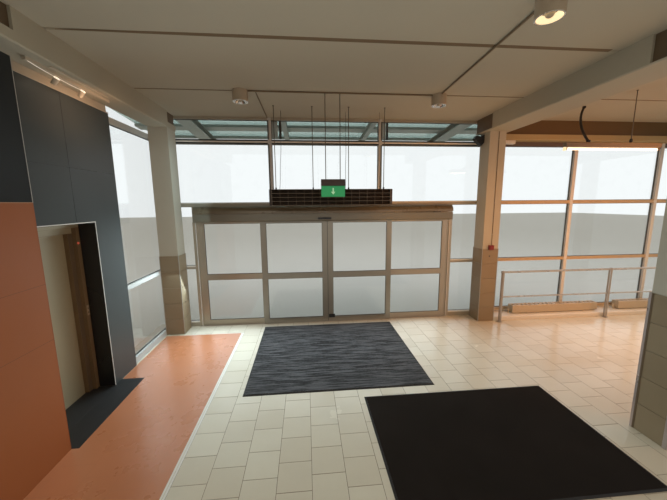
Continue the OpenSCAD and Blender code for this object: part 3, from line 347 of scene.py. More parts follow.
def glowing(name, colour, strength, cover=(0.9, 0.9, 0.88)):
    """Lit cover: a faintly mottled face that gives light of its own."""
    f = Finish(name, cover, 0.4)
    f.give({"Emission Color": (*colour, 1), "Emission Strength": strength})
    f.paint(f.blend(f.noise(30, 3), f.tone(0.92), f.tone(1)))
    f.raise_by(f.noise(200, 2), 0.05, 0.0005)
    return f.material


def worn_concrete(name, colour, rough=0.85):
    """Cast concrete: mottled, with pores."""
    f = Finish(name, colour, rough)
    broad, pores = f.noise(1.7, 7, rough=0.65), f.span(f.noise(55, 3), 0.62, 0.7)
    f.paint(f.marked(f.blend(broad, f.tone(0.8), f.tone(1.15)), pores, 0.5, 0.55))
    f.gloss(broad, spread=0.08)
    f.raise_by(f.math("SUBTRACT", broad, f.math("MULTIPLY", pores, 0.3)), 0.35, 0.004)
    return f.material


def vinyl(name, colour):
    """Film laid over tiles: their staggered joints show through faintly, with dark scuffs."""
    f = Finish(name, colour, 0.3)
    bricks = f.node(
        "ShaderNodeTexBrick",
        {"Vector": f.stretched((1, 1, 1), (0, 0, math.radians(90))), "Scale": 1.0,
         "Mortar Size": JOINT, "Mortar Smooth": 0.6, "Brick Width": TILE, "Row Height": TILE},
    ).outputs["Fac"]
    scuffs = f.span(f.noise(9, 8, rough=0.75), 0.64, 0.78)
    body = f.blend(f.noise(1.0, 5), f.tone(0.9, 0.01), f.tone(1.1))
    body = f.marked(body, bricks, 0.16, 0.6)
    f.paint(f.marked(body, scuffs, 0.35, 0.5))
    f.gloss(f.noise(3.5, 6), spread=0.07)
    f.give({"Specular IOR Level": 1.0, "Coat Weight": 0.8, "Coat Roughness": 0.22})
    f.raise_by(bricks, -0.25, 0.002)
    return f.material


def banded(name, lower, upper, height, rough=0.5):
    """Two paints on one piece, which change at a height above the floor."""
    f = Finish(name, lower, rough)
    cloud = f.noise(9, 5)
    first = f.blend(cloud, f.tone(0.85), f.tone(1.15))
    f.colour = upper
    second = f.blend(cloud, f.tone(0.85), f.tone(1.15))
    f.paint(f.blend(f.math("GREATER_THAN", f.axis("Z"), FLOOR + height), first, second))
    f.gloss(cloud, spread=0.08)
    f.raise_by(f.noise(260, 2), 0.1, 0.0006)
    return f.material


def conduit_paint(name, light, dark, from_x):
    """Painted pipe on the left and black rubber hose to the right of a line."""
    f = Finish(name, light, 0.6)
    cloud = f.noise(14, 5)
    first = f.blend(cloud, f.tone(0.8), f.tone(1.2))
    f.colour = dark
    second = f.blend(cloud, f.tone(0.8), f.tone(1.4))
    f.paint(f.blend(f.math("GREATER_THAN", f.axis("X"), from_x), first, second))
    f.gloss(cloud, spread=0.1)
    f.raise_by(f.noise(300, 2), 0.15, 0.0005)
    return f.material


# The factory coat on rails and posts: gloss, clouds, fine grain and marks
FACTORY_COAT = {"rough": 0.42, "cloud": 1.0, "spread": 0.05, "orange_peel": 300, "marks": 0.08}

FINISHES = {
    "tile": glazed("floor_tile", (0.62, 0.57, 0.46), 0.22, 0.08, 0.25, 5.0),
    "grout": worn_concrete("floor_grout", (0.20, 0.155, 0.11)),
    "vinyl": vinyl("walkway_vinyl", (0.50, 0.188, 0.086)),
    "line": painted("line_paint", (0.72, 0.70, 0.65), 0.5, marks=0.5),
    "ribs": ribbed_pile("ribbed_pile", (0.033, 0.033, 0.035)),
    "plush": pile("plain_pile", (0.013, 0.010, 0.008), 700, 0.3),
    "slate": painted("doorway_mat_rubber", (0.026, 0.026, 0.026), 0.5, 3, 0.15, 400, 0.3),
    "plush_edge": painted("dark_edge", (0.014, 0.013, 0.012), 0.75, 6),
    "rubber": painted("rubber_edge", (0.022, 0.021, 0.020), 0.6, 6),
    "column": painted("column_paint", (0.43, 0.40, 0.325), 0.62),
    "column_tile": glazed("column_tile", (0.255, 0.197, 0.122), 0.5, 0.1, 0.1),
    "column_trim": anodised("column_trim_metal", (0.42, 0.40, 0.36), "Z", 0.4, 0.5),
    "beam": painted("beam_paint", (0.42, 0.385, 0.30), 0.68, 0.9, 0.08, 160),
    "ceiling": painted("plank_paint", (0.47, 0.425, 0.33), 0.75, 0.9, 0.09, 140),
    "filler": painted("joint_filler", (0.19, 0.13, 0.075), 0.8, 6),
    # Brown paint of the column heads, which is also laid on strips that are painted shade
    "brown_and_shade": painted("brown_paint", (0.125, 0.086, 0.050), 0.55, 3),
    "fascia": anodised("fascia_sheet", (0.35, 0.37, 0.36), "X", 0.5, 0.4),
    "champagne_x": anodised("champagne_across", (0.44, 0.37, 0.295), "X"),
    "champagne_z": anodised("champagne_upright", (0.42, 0.365, 0.285), "Z"),
    "leaf_frame": anodised("leaf_frame_metal", (0.305, 0.285, 0.235), "Z"),
    "header": anodised("header_cover_metal", (0.158, 0.127, 0.083), "X", 0.3, 0.3, smears=0.03),
    "band": anodised("header_band_metal", (0.176, 0.161, 0.122), "X", 0.36, 0.4, smears=0.04),
    "grey_x": painted("grey_across", (0.33, 0.30, 0.24), **FACTORY_COAT),
    "grey_z": painted("grey_upright", (0.51, 0.51, 0.49), **FACTORY_COAT),
    # Cream rails, with a dark band above 3.43 m that is painted shade under the pelmet
    "cream_x_shaded_top": banded("cream_across_shaded_top", (0.50, 0.37, 0.225), (0.115, 0.080, 0.062), 3.43, 0.42),
    "cream_z": painted("cream_upright", (0.66, 0.66, 0.65), **FACTORY_COAT),
    "pelmet": painted("pelmet_paint", (0.39, 0.30, 0.15), 0.5, 1.2),
    "lintel": painted("lintel_paint", (0.118, 0.069, 0.021), 0.6, 1.2),
    "convector": painted("convector_paint", (0.52, 0.44, 0.32), 0.42, 2.0),
    # White enamel, which is also laid on strips that are painted highlights on the sills and transoms
    "white": painted("white_enamel_and_highlight", (0.72, 0.70, 0.65), 0.4, 2.0, 0.04, 260, 0.1),
    "return_white": painted("return_rail_paint", (0.46, 0.47, 0.45), 0.42, 2.0, 0.05, 260, 0.1),
    "glass": clear_glass("clear_glass", (0.95, 0.985, 0.975)),
    "green_glass": clear_glass("green_glass", (0.46, 0.60, 0.555), 0.2),
    "plastic": painted("black_plastic", (0.014, 0.014, 0.015), 0.5, 8),
    "curtain": painted("curtain_enamel", (0.040, 0.025, 0.015), 0.45, 3),
    "louvre": painted("louvre_enamel", (0.036, 0.023, 0.015), 0.4, 6),
    "grid": anodised("grille_wire", (0.145, 0.11, 0.075), "Z", 0.45, 0.5),
    "housing": banded("sign_housing", (0.02, 0.20, 0.08), (0.045, 0.022, 0.012), 2.633),
    "sign": glowing("sign_face", (0.03, 0.50, 0.16), 0.20, (0.02, 0.30, 0.10)),
    "arrow": glowing("sign_arrow", (0.45, 0.95, 0.55), 0.24, (0.5, 0.8, 0.55)),
    "rods": anodised("rod_zinc", (0.13, 0.11, 0.085), "Z", 0.45, 0.6),
    "wire": painted("cable_sheath", (0.05, 0.045, 0.04), 0.5, 8),
    "steel": anodised("rail_stainless", (0.52, 0.47, 0.41), "X", 0.3, 0.75),
    "steel_z": anodised("post_stainless", (0.38, 0.34, 0.29), "Z", 0.4, 0.6),
    "canopy": painted("canopy_paint", (0.32, 0.36, 0.335), 0.45, 1.5),
    "dark_board": laminate("dark_board", (0.009, 0.011, 0.012), 0.55, 0.032),
    "dark_wall": laminate("dark_wall_board", (0.048, 0.055, 0.055), 0.45, 0.032),
    "terracotta": laminate("terracotta_board", (0.30, 0.092, 0.029), 0.45),
    "joint": painted("pier_joint", (0.125, 0.042, 0.018), 0.5, 3),
    "beige": painted("door_paint", (0.345, 0.30, 0.195), 0.42, 1.1, 0.06, 280, 0.15),
    "tan": painted("door_frame_paint", (0.20, 0.135, 0.070), 0.42, 1.4, 0.06, 280, 0.15),
    "reveal": laminate("reveal_sheet", (0.012, 0.012, 0.013), 0.3),
    "bulkhead": painted("bulkhead_paint", (0.50, 0.44, 0.35), 0.7, 2),
    "batten": painted("batten_enamel", (0.17, 0.125, 0.08), 0.5, 4),
    "drum": painted("light_drum", (0.42, 0.34, 0.25), 0.45, 4),
    "mirror": anodised("reflector_mirror", (0.75, 0.72, 0.68), "Z", 0.18, 1.0),
    "lamp_off": laminate("dull_lamp", (0.10, 0.09, 0.08), 0.2),
    "tube": glowing("lit_tube", (1.0, 0.74, 0.48), 5.0),
    "bulb": glowing("lit_bulb", (1.0, 0.85, 0.66), 12.0),
    "vent_glow": glowing("lit_vent", (1.0, 0.80, 0.58), 1.6),
    # Wires that glow: a painted highlight, not a lamp
    "lit_wire": glowing("spot_wire_painted_highlight", (1.0, 0.88, 0.72), 0.75),
    "peach": painted("peach_trim", (0.40, 0.25, 0.15), 0.5, 3),
    # Glow that paints lamp light onto parts that are not lamps: the lit reflector and the tube's holder
    "glow": glowing("painted_glow_bowl", (1.0, 0.78, 0.45), 0.9, (0.7, 0.6, 0.42)),
    "red": laminate("red_plastic", (0.20, 0.020, 0.012), 0.4),
    "lamp_red": glowing("lit_signal", (0.75, 0.13, 0.07), 0.35, (0.45, 0.08, 0.05)),
    # Dark paint that stands for the shade on the mullions' room faces
    "mullion_painted_shade": painted("mullion_painted_shade", (0.085, 0.088, 0.080), 0.5, 2),
    "bare_steel": anodised("corner_steel", (0.50, 0.44, 0.43), "Z", 0.35, 0.6),
    "membrane": worn_concrete("roof_membrane", (0.20, 0.21, 0.21), 0.9),
    "seam": worn_concrete("roof_seam", (0.27, 0.28, 0.28), 0.8),
    "gasket": painted("gasket_rubber", (0.016, 0.017, 0.018), 0.6, 10),
    "conduit": conduit_paint("conduit_paint", (0.19, 0.135, 0.08), (0.012, 0.012, 0.013), 3.5),
    "call_plate": painted("bare_plate", (0.42, 0.33, 0.22), 0.5, 8),
}

NODE_FINISH = {
    "floor_slab": "grout", "door_mats": "rubber", "columns": "column", "column_heads": "brown_and_shade",
    "beams": "beam", "roof_planks": "ceiling", "fascia": "fascia", "front_posts": "grey_z",
    "front_rails": "grey_x", "fixed_glass": "glass", "door_posts": "champagne_z",
    "door_track": "champagne_x", "header_rail": "grey_x", "header_cover": "band",
    "header_lids": "header", "door_drive": "plastic", "screen_frames": "champagne_z",
    "left_leaf_frame": "leaf_frame", "left_leaf_glass": "glass", "left_leaf_hangers": "rods",
    "right_leaf_frame": "leaf_frame", "right_leaf_glass": "glass", "right_leaf_hangers": "rods",
    "detectors": "plastic", "air_curtain": "curtain", "air_curtain_grille": "grid",
    "exit_sign": "housing", "hanging_rods": "rods", "canopy_rafters": "canopy",
    "canopy_purlins": "canopy", "canopy_glass": "green_glass", "window_posts": "cream_z",
    "window_rails": "cream_x_shaded_top", "window_lintel": "lintel", "window_pelmet": "pelmet",
    "window_plinth": "white", "convectors": "convector", "guard_rail": "steel_z",
    "guard_rail_bars": "steel", "return_rails": "return_white", "side_wall": "bulkhead",
    "side_lintel": "bulkhead", "wall_cladding": "dark_wall", "pier_cladding": "terracotta",
    "pier_top": "dark_board", "side_door_frame": "tan", "side_door_leaf": "beige",
    "ceiling_lights": "drum", "batten_light": "batten", "spot_track": "bulkhead",
    "call_point": "red", "conduits": "conduit",
}


def dress_frame():
    """Gives every node of the frame its finish."""
    for name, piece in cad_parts.items():
        piece.data.materials.clear()
        piece.data.materials.append(FINISHES[NODE_FINISH[name]])


# Surfaces


def grid_quads(rows, across, wrap=True):
    """Quads between neighbours on a grid of points in rows, each row a ring where it wraps."""
    i, j = np.meshgrid(np.arange(rows - 1), np.arange(across if wrap else across - 1), indexing="ij")
    here, beside = i * across + j, i * across + (j + 1) % across
    quads = np.stack([here, beside, beside + across, here + across], -1)
    return quads.reshape(-1, 4).tolist()


def closed_grid(rows, across):
    """Quads of a stack of rings, with a lid on its first and last ring."""
    last = (rows - 1) * across
    return grid_quads(rows, across) + [list(range(across))[::-1], list(range(last, last + across))]


def add_piece(name, points, faces, finish, body=HALL, smooth=False, shades=None):
    """Makes one mesh piece from points and lists of corners, and lets it ride on a body."""
    mesh = bpy.data.meshes.new(name)
    mesh.from_pydata(np.asarray(points, float).reshape(-1, 3), [], faces)
    mesh.update()
    if shades is not None:
        shade = mesh.attributes.new("own_shade", "FLOAT", "POINT")
        shade.data.foreach_set("value", np.asarray(shades, np.float32))
    if smooth:
        mesh.shade_smooth()
    mesh.materials.append(FINISHES[finish])
    piece = bpy.data.objects.new(name, mesh)
    bpy.context.scene.collection.objects.link(piece)
    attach(piece, body)
    return piece


def blocks(name, lows, highs, chamfer, finish, body=HALL, shades=None):
    """Joined chamfered boxes: an eight-cornered plan carried up through four levels,
    drawn in by the chamfer at the first and last, for all boxes at once."""
    n = len(lows)
    c = np.minimum(chamfer, 0.4 * (highs - lows).min(1))
    middle, half = (lows + highs) / 2, (highs - lows) / 2
    sign = np.repeat(np.array([[1.0, 1], [-1, 1], [-1, -1], [1, -1]]), 2, 0)
    cut = np.array([[0.0, 1], [1, 0], [1, 0], [0, 1]] * 2)
    inset = np.array([1.0, 0, 0, 1])
    level = np.stack([-half[:, 2], -half[:, 2] + c, half[:, 2] - c, half[:, 2]], 1)
    drawn_in = c[:, None, None, None] * (inset[None, :, None, None] + cut[None, None])
    xy = middle[:, None, None, :2] + sign[None, None] * (half[:, None, None, :2] - drawn_in)
    z = np.broadcast_to((middle[:, 2:3] + level)[:, :, None], (n, 4, 8))
    points = np.concatenate([xy, z[..., None]], -1)
    start = (np.arange(n) * 32)[:, None, None]
    sides = (np.array(grid_quads(4, 8)) + start).reshape(-1, 4)
    lids = (np.stack([np.arange(8)[::-1], np.arange(24, 32)]) + start).reshape(-1, 8)
    point_shades = None if shades is None else np.repeat(shades, 32)
    return add_piece(name, points, sides.tolist() + lids.tolist(), finish, body, shades=point_shades)


def boxes(name, items, chamfer, finish, body=HALL, shades=None):
    """Joined chamfered boxes given by two corners, with heights above the tiled floor."""
    items = np.asarray(items, float) + np.array([0, 0, FLOOR, 0, 0, FLOOR])
    corners = items.reshape(-1, 2, 3)
    return blocks(name, corners.min(1), corners.max(1), chamfer, finish, body, shades)


def sweep(section, path):
    """Points and faces of a closed section carried along a path: at each path point the
    section lies across the path's direction, turned no more than the path itself turns."""
    along = np.gradient(path, axis=0)
    along /= np.linalg.norm(along, axis=1, keepdims=True)
    side = np.cross(along[0], (0, 0, 1) if abs(along[0, 2]) < 0.9 else (1, 0, 0))
    sides = [side / np.linalg.norm(side)]
    for step in along[1:]:
        kept = sides[-1] - step * (sides[-1] @ step)
        sides.append(kept / np.linalg.norm(kept))
    sides = np.array(sides)
    ups = np.cross(along, sides)
    points = path[:, None] + section[None, :, :1] * sides[:, None] + section[None, :, 1:] * ups[:, None]
    return points.reshape(-1, 3), closed_grid(len(path), len(section))


def ring(radius, count):
    """Round section: x = r cos a, y = r sin a."""
    angle = np.linspace(0, 2 * np.pi, count, endpoint=False)
    return np.stack([np.cos(angle), np.sin(angle)], 1) * radius


def joined(parts):
    """Several point and face lists as one."""
    points, faces, start = [], [], 0
    for more, some in parts:
        points.append(more)
        faces += [[i + start for i in f] for f in some]
        start += len(more)
    return np.concatenate(points), faces


def tubes(name, paths, radius, finish, count):
    """Round bars along several paths, joined."""
    add_piece(name, *joined([sweep(ring(radius, count), p) for p in paths]), finish, smooth=True)


def turned(profile, centre, count, axis="Z"):
    """Points and quads of a profile of radius and height turned round an upright axis, or
    round one along X: x = r cos a, y = r sin a, z = h."""
    profile = np.asarray(profile, float)
    angle = np.linspace(0, 2 * np.pi, count, endpoint=False)
    r, h = profile[:, :1], profile[:, 1:]
    x, y, z = r * np.cos(angle), r * np.sin(angle), np.broadcast_to(h, (len(profile), count))
    points = np.stack((z, x, y) if axis == "X" else (x, y, z), -1) + np.asarray(centre, float)
    return points.reshape(-1, 3), grid_quads(len(profile), count)


# Floor

# Sides and front end of the walkway's film, outer edge of its double line, and the layers'
# depths; ROW_SHIFT moves the rows of tiles as one
WALK_X = (-2.99, -1.65)
WALK_FRONT = -0.485
LINE_OUT = 0.043
ROW_SHIFT = 0.12
TILE_BED, TILE_THICK = 0.004, 0.0055
MAT_EDGE, MAT_TOP = 0.022, FLOOR + 0.011


def floor_tiles():
    """Square tiles in rows that run away from the front, each row shifted by half a tile.
    They leave out the walkway and slivers under 20 mm, and each lies up to 0.3 mm higher or
    lower than its neighbours."""
    (x0, y0), (x1, y1) = low("floor_slab")[:2], high("floor_slab")[:2]
    start = WALK_X[1] + LINE_OUT
    rows = np.arange(math.floor((x0 - start) / TILE), math.ceil((x1 - start) / TILE))
    steps = np.arange(math.floor((y0 - y1) / TILE) - 1, 1)
    row, step = (a.ravel() for a in np.meshgrid(rows, steps, indexing="ij"))
    left = start + row * TILE
    back = y1 + step * TILE + (row % 2) * TILE / 2 - ROW_SHIFT
    lows = np.stack([left + JOINT / 2, back + JOINT / 2, np.full(len(row), FLOOR - TILE_BED)], 1)
    highs = lows + (TILE - JOINT, TILE - JOINT, TILE_THICK)
    lows[:, :2] = np.maximum(lows[:, :2], (x0 + 0.001, y0 + 0.001))
    highs[:, :2] = np.minimum(highs[:, :2], (x1 - 0.001, y1 - 0.001))
    keep = ((highs - lows)[:, :2] > 0.02).all(1)
    keep &= ~((highs[:, 0] < WALK_X[1] + 0.03) & (highs[:, 1] < WALK_FRONT + 0.1)
              & (lows[:, 0] > WALK_X[0] - 0.01))
    lows, highs = lows[keep], highs[keep]
    highs[:, 2] += chance.uniform(-0.0003, 0.0003, len(highs))
    blocks("floor_tiles", lows, highs, 0.0012, "tile", shades=chance.random(len(lows)))


def walkway():
    """Coloured film on the floor with its white lines, and the dark mat at the side door."""
    back = low("floor_slab")[1] + 0.001
    left, right = WALK_X
    front, thick = WALK_FRONT + 0.016, 0.003
    boxes("walkway_film", [(left + 0.01, back, -0.001, right, WALK_FRONT, 0.0022)], 0.001, "vinyl")
    boxes("walkway_line", [
        (right + 0.002, back, 0, right + 0.018, front, thick),
        (right + 0.024, back, 0, right + LINE_OUT, front, thick),
        (-2.68, WALK_FRONT + 0.002, 0, right, front, thick),
    ], 0.001, "line")
    boxes("doorway_mat", [
        (-3.268, -2.995, 0, -2.98, -2.005, 0.004), (-2.981, -3.088, 0, -2.69, -1.85, 0.004),
    ], 0.001, "slate")


def ribbed_mat(name, x0, x1, y0, y1, pitch, rise, finish, edging="rubber"):
    """Mat with a sloping rubber edge and a ribbed field: height = base + rise s^0.6, where
    s = |sin(pi (y + wander) / pitch)|, and the wander bends the ribs a little."""
    corners = np.array([(x0, y0), (x1, y0), (x1, y1), (x0, y1)])
    inward = np.array([(1, 1), (-1, 1), (-1, -1), (1, -1)])
    rims = ((0, FLOOR), (0.004, FLOOR + 0.006), (MAT_EDGE, MAT_TOP))
    points = np.stack([np.column_stack([corners + inward * r, np.full(4, z)]) for r, z in rims])
    add_piece(name + "_edge", points, grid_quads(3, 4), edging)
    ribs = int((y1 - y0 - 2 * MAT_EDGE) / pitch)
    x = np.linspace(x0 + MAT_EDGE, x1 - MAT_EDGE, 40)
    y = np.linspace(y0 + MAT_EDGE, y1 - MAT_EDGE, ribs * 6 + 1)
    yy, xx = np.meshgrid(y, x, indexing="ij")
    wander = 0.15 * pitch * np.sin(xx * 9.0) * np.sin(yy * 5.0)
    wave = np.abs(np.sin(np.pi * (yy - y0 - MAT_EDGE + wander) / pitch))
    points = np.stack([xx, yy, MAT_TOP - 0.001 + rise * wave ** 0.6], -1)
    quads = grid_quads(len(y), len(x), wrap=False)
    return add_piece(name + "_pile", points, quads, finish, smooth=True)


def mats():
    """The ribbed mat behind the door and the plain one nearer the hall."""
    ribs = ribbed_mat("ribbed_mat", -1.247, 1.228, -2.425, -0.252, 0.024, 0.0045, "ribs")
    ribbed_mat("plain_mat", 0.258, 2.563, -4.056, -2.58, 0.009, 0.0015, "plush", "plush_edge")
    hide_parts("door_mats")


# Columns

TILED_H = 1.47
COURSES = 5
COLUMN_HALF = 0.157
COLUMN_LINES = (-2.847, 3.153, 8.953)
COLUMN_ROWS = (-0.264, -3.51)


def column_tiles():
    """Tiles round the foot of every column, one course above the other, with edge trims."""
    half, out, gap, course = COLUMN_HALF, 0.009, 0.002, TILED_H / COURSES
    inner, outer = half - 0.001, half + out + 0.0012
    places = [(x, y) for x in COLUMN_LINES for y in COLUMN_ROWS]
    places.remove((COLUMN_LINES[0], COLUMN_ROWS[1]))
    tiles, trims = [], []
    for x, y in places:
        for k in range(COURSES):
            z0, z1 = k * course + JOINT / 2, (k + 1) * course - JOINT / 2
            for s in (-1, 1):
                face_x, face_y = x + s * half, y + s * half
                tiles.append((x - half + gap, face_y, z0, x + half - gap, face_y + s * out, z1))
                tiles.append((face_x, y - half + gap, z0, face_x + s * out, y + half - gap, z1))
        trims += [(x + sx * inner, y + sy * inner, 0, x + sx * outer, y + sy * outer, TILED_H + 0.004)
                  for sx in (-1, 1) for sy in (-1, 1)]
    tiles, trims = np.array(tiles), np.array(trims)
    tiles = tiles[np.maximum(tiles[:, 0], tiles[:, 3]) < high("columns")[0] + 0.001]
    trims[:, [0, 3]] = np.minimum(trims[:, [0, 3]], cad_high[0] + out)
    boxes("column_tiles", tiles, 0.0015, "column_tile", shades=chance.random(len(tiles)))
    boxes("column_tile_trims", trims, 0.003, "column_trim")


# Ceiling and walls


def ceiling_joints():
    """Filled joints of the roof planks: three narrow lines, and over the door bay a wide
    strip that closes towards the left, with a half width of 37 mm (1 - exp(-6 t)) (1 - t / 4)
    + 1 mm and a middle that hangs 3 mm lower."""
    t = np.linspace(0, 1, 60)
    x, half = -2.60 + t * 5.40, 0.037 * (1 - np.exp(-6 * t)) * (1 - 0.25 * t) + 0.001
    lines = ((-1, 0.0), (-0.8, -0.003), (0.8, -0.003), (1, 0.0))
    points = np.stack([np.column_stack([x, -2.79 + s * half, np.full(60, FLOOR + CEILING + dz)])
                       for s, dz in lines], 1)
    quads = grid_quads(len(x), len(lines), wrap=False)
    add_piece("wide_joint_filler", points, quads, "filler")
    boxes("narrow_joint_filler", [
        (x0, y0, CEILING - 0.002, x1, y1, CEILING + 0.002)
        for x0, x1, y0, y1 in ((-2.68, 2.90, -1.375, -1.363), (3.40, 8.79, -1.375, -1.363),
                               (3.40, 8.79, -2.797, -2.783))
    ], 0.0008, "filler")


def side_wall_fittings():
    """Trims, lining, joints, the small lamp and a strip of painted shade on and round the side doorway.
    """
    face, depth, trim = -2.982, -3.178, 0.010
    boxes("doorway_trim", [
        (face - 0.001, -2.003, 0.004, face + 0.004, -2.003 + trim, 2.172),
        (face - 0.001, -3.0, 2.168, face + 0.004, -1.993, 2.168 + trim),
    ], 0.001, "line")
    boxes("doorway_lining", [
        (depth, -2.004, 0.004, face + 0.001, -2.0, 2.168),
        (depth, -3.0, 0.004, face + 0.001, -2.996, 2.168),
        (depth, -2.996, 2.164, face + 0.001, -2.004, 2.169),
    ], 0.0008, "reveal")
    boxes("board_joints", [
        (face - 0.001, -3.088, 2.783, face + 0.0012, -1.492, 2.787),
        (face - 0.001, -2.302, 2.19, face + 0.0012, -2.298, 3.568),
        (face - 0.001, -1.992, 1.22, face + 0.0012, -1.492, 1.223),
    ], 0.0004, "reveal")
    corner, front, back = -2.760, -3.09, -4.20
    boxes("pier_joints", [
        (corner - 0.001, back, z, corner + 0.0008, front - 0.002, z + 0.003) for z in (1.672, 1.150)
    ], 0.0004, "joint")
    boxes("pier_joint_strip", [
        (corner - 0.001, back, 2.396, corner + 0.0016, front - 0.002, 2.402),
    ], 0.0004, "peach")
    boxes("pier_corner_bead", [
        (corner - 0.004, front - 0.004, 2.40, corner + 0.002, front + 0.002, 3.57),
    ], 0.0012, "column_trim")
    boxes("pier_lower_bead", [
        (corner - 0.003, front - 0.003, 0.003, corner + 0.0012, front + 0.0012, 2.40),
    ], 0.001, "terracotta")
    dome = [(0.0, 0.0), (0.0155, 0.0), (0.014, 0.006), (0.009, 0.0105), (0.0, 0.012)]
    lamp = turned(dome, (-3.179, -2.042, FLOOR + 1.92), 20, "X")
    add_piece("door_signal_lamp", *lamp, "lamp_red", smooth=True)
    boxes("door_call_plate", [
        (-3.1752, -2.0497, 1.0005, -3.1738, -2.0103, 1.1295),
    ], 0.0005, "call_plate")
    boxes("door_buttons", [
        (-3.1712, -2.036, z - 0.006, -3.1702, -2.024, z + 0.006) for z in (1.039, 1.091)
    ], 0.0004, "plastic")
    boxes("door_head_panels", [
        (-3.2245, -2.938, 2.042, -3.223, -2.062, 2.108), (-3.1795, -2.996, 2.112, -3.178, -2.004, 2.164),
    ], 0.0005, "beige")
    # Painted shade: a dark brown strip on the jamb's side reveal
    boxes("door_jamb_shade_strip", [(-3.2245, -2.128, 0.006, -3.223, -2.062, 2.040)], 0.0005, "brown_and_shade")


# The two spots, tilted towards the side wall: their roots under the track, and their wires
SPOT_TILT = math.radians(35)
SPOT_X, SPOTS_Y = -2.820, (-2.547, -2.192)
SPOT_Z = FLOOR + 3.66 - 0.032 - 0.034
WIRE_X, WIRE_Z = -2.8065, 3.6085


def on_spots(profile, ahead):
    """A profile turned round the tilted axis of each spot, some way ahead of its root."""
    aim = np.array([-math.sin(SPOT_TILT), 0, -math.cos(SPOT_TILT)])
    side = np.array([math.cos(SPOT_TILT), 0, -math.sin(SPOT_TILT)])
    points, faces = turned(profile, (0, 0, 0), 24)
    points = points @ np.array([side, (0, -1, 0), aim]) + aim * ahead
    return joined([(points + (SPOT_X, y, SPOT_Z), faces) for y in SPOTS_Y])


def spot_fittings():
    """Lit faces and lit vents of the two spots, their wires, which sag by 4 mm sin(pi t) and glow with a
    painted highlight, and the pale strips beside the track and on top of the cladding."""
    lens = [(0.0195, 0.0), (0.017, 0.005), (0.010, 0.008), (0.0, 0.009)]
    vent = [(0.0, -0.0212), (0.0205, -0.0212), (0.0246, -0.0170), (0.0246, -0.0120), (0.0238, -0.0114)]
    add_piece("spot_lenses", *on_spots(lens, 0.0455), "bulb", smooth=True)
    add_piece("spot_lit_vents", *on_spots(vent, 0.0), "vent_glow", smooth=True)
    t = np.linspace(0, 1, 13)[:, None]
    wires = []
    for y0, z0, y1 in ((-2.870, 3.628, -2.562), (-2.532, WIRE_Z, -2.207)):
        start, end = np.array([WIRE_X, y0, z0]), np.array([WIRE_X, y1, WIRE_Z])
        sag = np.column_stack([0 * t, 0 * t, -0.004 * np.sin(np.pi * t)])
        wires.append(start * (1 - t) + end * t + sag + (0, 0, FLOOR))
    tubes("spot_wire_highlights", wires, 0.0018, "lit_wire", 6)
    boxes("track_cover_strip", [(-2.772, -2.69, 3.650, -2.742, -1.86, 3.661)], 0.004, "bulkhead")
    boxes("cladding_top_trim", [(-2.986, -3.09, 3.566, -2.976, -1.492, 3.578)], 0.0015, "bulkhead")


def column_fittings():
    """Bare plate, button and pipe clips under the call point, a box at the window's head, and steel
    guards on the back column's corners, one with a dark strip of painted shadow at its edge."""
    boxes("column_plate", [(3.10, -0.4285, 1.265, 3.18, -0.4205, 1.395)], 0.003, "call_plate")
    boxes("window_head_box", [(3.445, -0.208, 3.480, 3.653, -0.130, 3.547)], 0.004, "white")
    corner, foot, top = 2.996, 0.002, TILED_H + 0.004
    boxes("corner_guards", [
        (corner - 0.0135, y0, foot, corner + reach, y1, top)
        for reach, y0, y1 in ((-0.0095, -3.363, -3.3405), (-0.0095, -3.6795, -3.641),
                              (0.026, -3.3438, -3.3398), (0.026, -3.6802, -3.6762))
    ], 0.0012, "bare_steel")
    # Painted shadow: a dark strip along the inner edge of a guard
    boxes("corner_guard_shadow_strip", [
        (corner - 0.0125, -3.382, foot, corner - 0.0095, -3.3635, TILED_H),
    ], 0.0012, "brown_and_shade")
    boxes("plate_button", [(3.128, -0.4315, 1.318, 3.152, -0.428, 1.342)], 0.001, "plastic")
    boxes("pipe_clips", [
        (3.160, -0.433, z, 3.181, -0.4205, z + 0.012) for z in (1.75, 2.35, 2.95, 3.5)
    ], 0.002, "column_trim")


# Glazed front

UPPER = [(-3.004, -1.081), (-1.011, 0.994), (1.064, 3.118)]
BAY = [(3.188, 5.051), (5.121, 6.985), (7.055, 8.918)]
BESIDE_DOOR = [(-3.004, -2.530), (2.530, 3.118)]
LIGHTS = [
    (x0, x1, z0, z1) for widths, heights in (
        (UPPER, ((2.40, 3.46), (3.54, 3.885))),
        (BESIDE_DOOR, ((0.10, 1.15), (1.21, 2.33))),
        (BAY, ((0.14, 1.15), (1.21, 2.33), (2.40, 3.465))),
    ) for x0, x1 in widths for z0, z1 in heights
]
LEAF_PANES = ((0.107, 0.918), (1.029, 2.008))


def seals(x0, x1, z0, z1, y0, y1, w):
    """Four strips round the inside of an opening."""
    return [(x0, y0, z0, x1, y1, z0 + w), (x0, y0, z1 - w, x1, y1, z1),
            (x0, y0, z0 + w, x0 + w, y1, z1 - w), (x1 - w, y0, z0 + w, x1, y1, z1 - w)]


def glazing_seals():
    """Rubber seals on both sides of every fixed pane, and of the panes of the left return."""
    items = []
    for light in LIGHTS:
        for y0, y1 in ((-0.0175, -0.0118), (0.0118, 0.0175)):
            items += seals(*light, y0, y1, 0.006)
    for z0, z1 in ((0.10, 1.15), (1.21, 3.46), (3.54, 3.885)):
        for x0, x1 in ((-3.0815, -3.0758), (-3.0522, -3.0465)):
            items += [(x0, -1.489, z, x1, -0.061, z + 0.006) for z in (z0, z1 - 0.006)]
    boxes("glazing_seals", items, 0.001, "gasket")


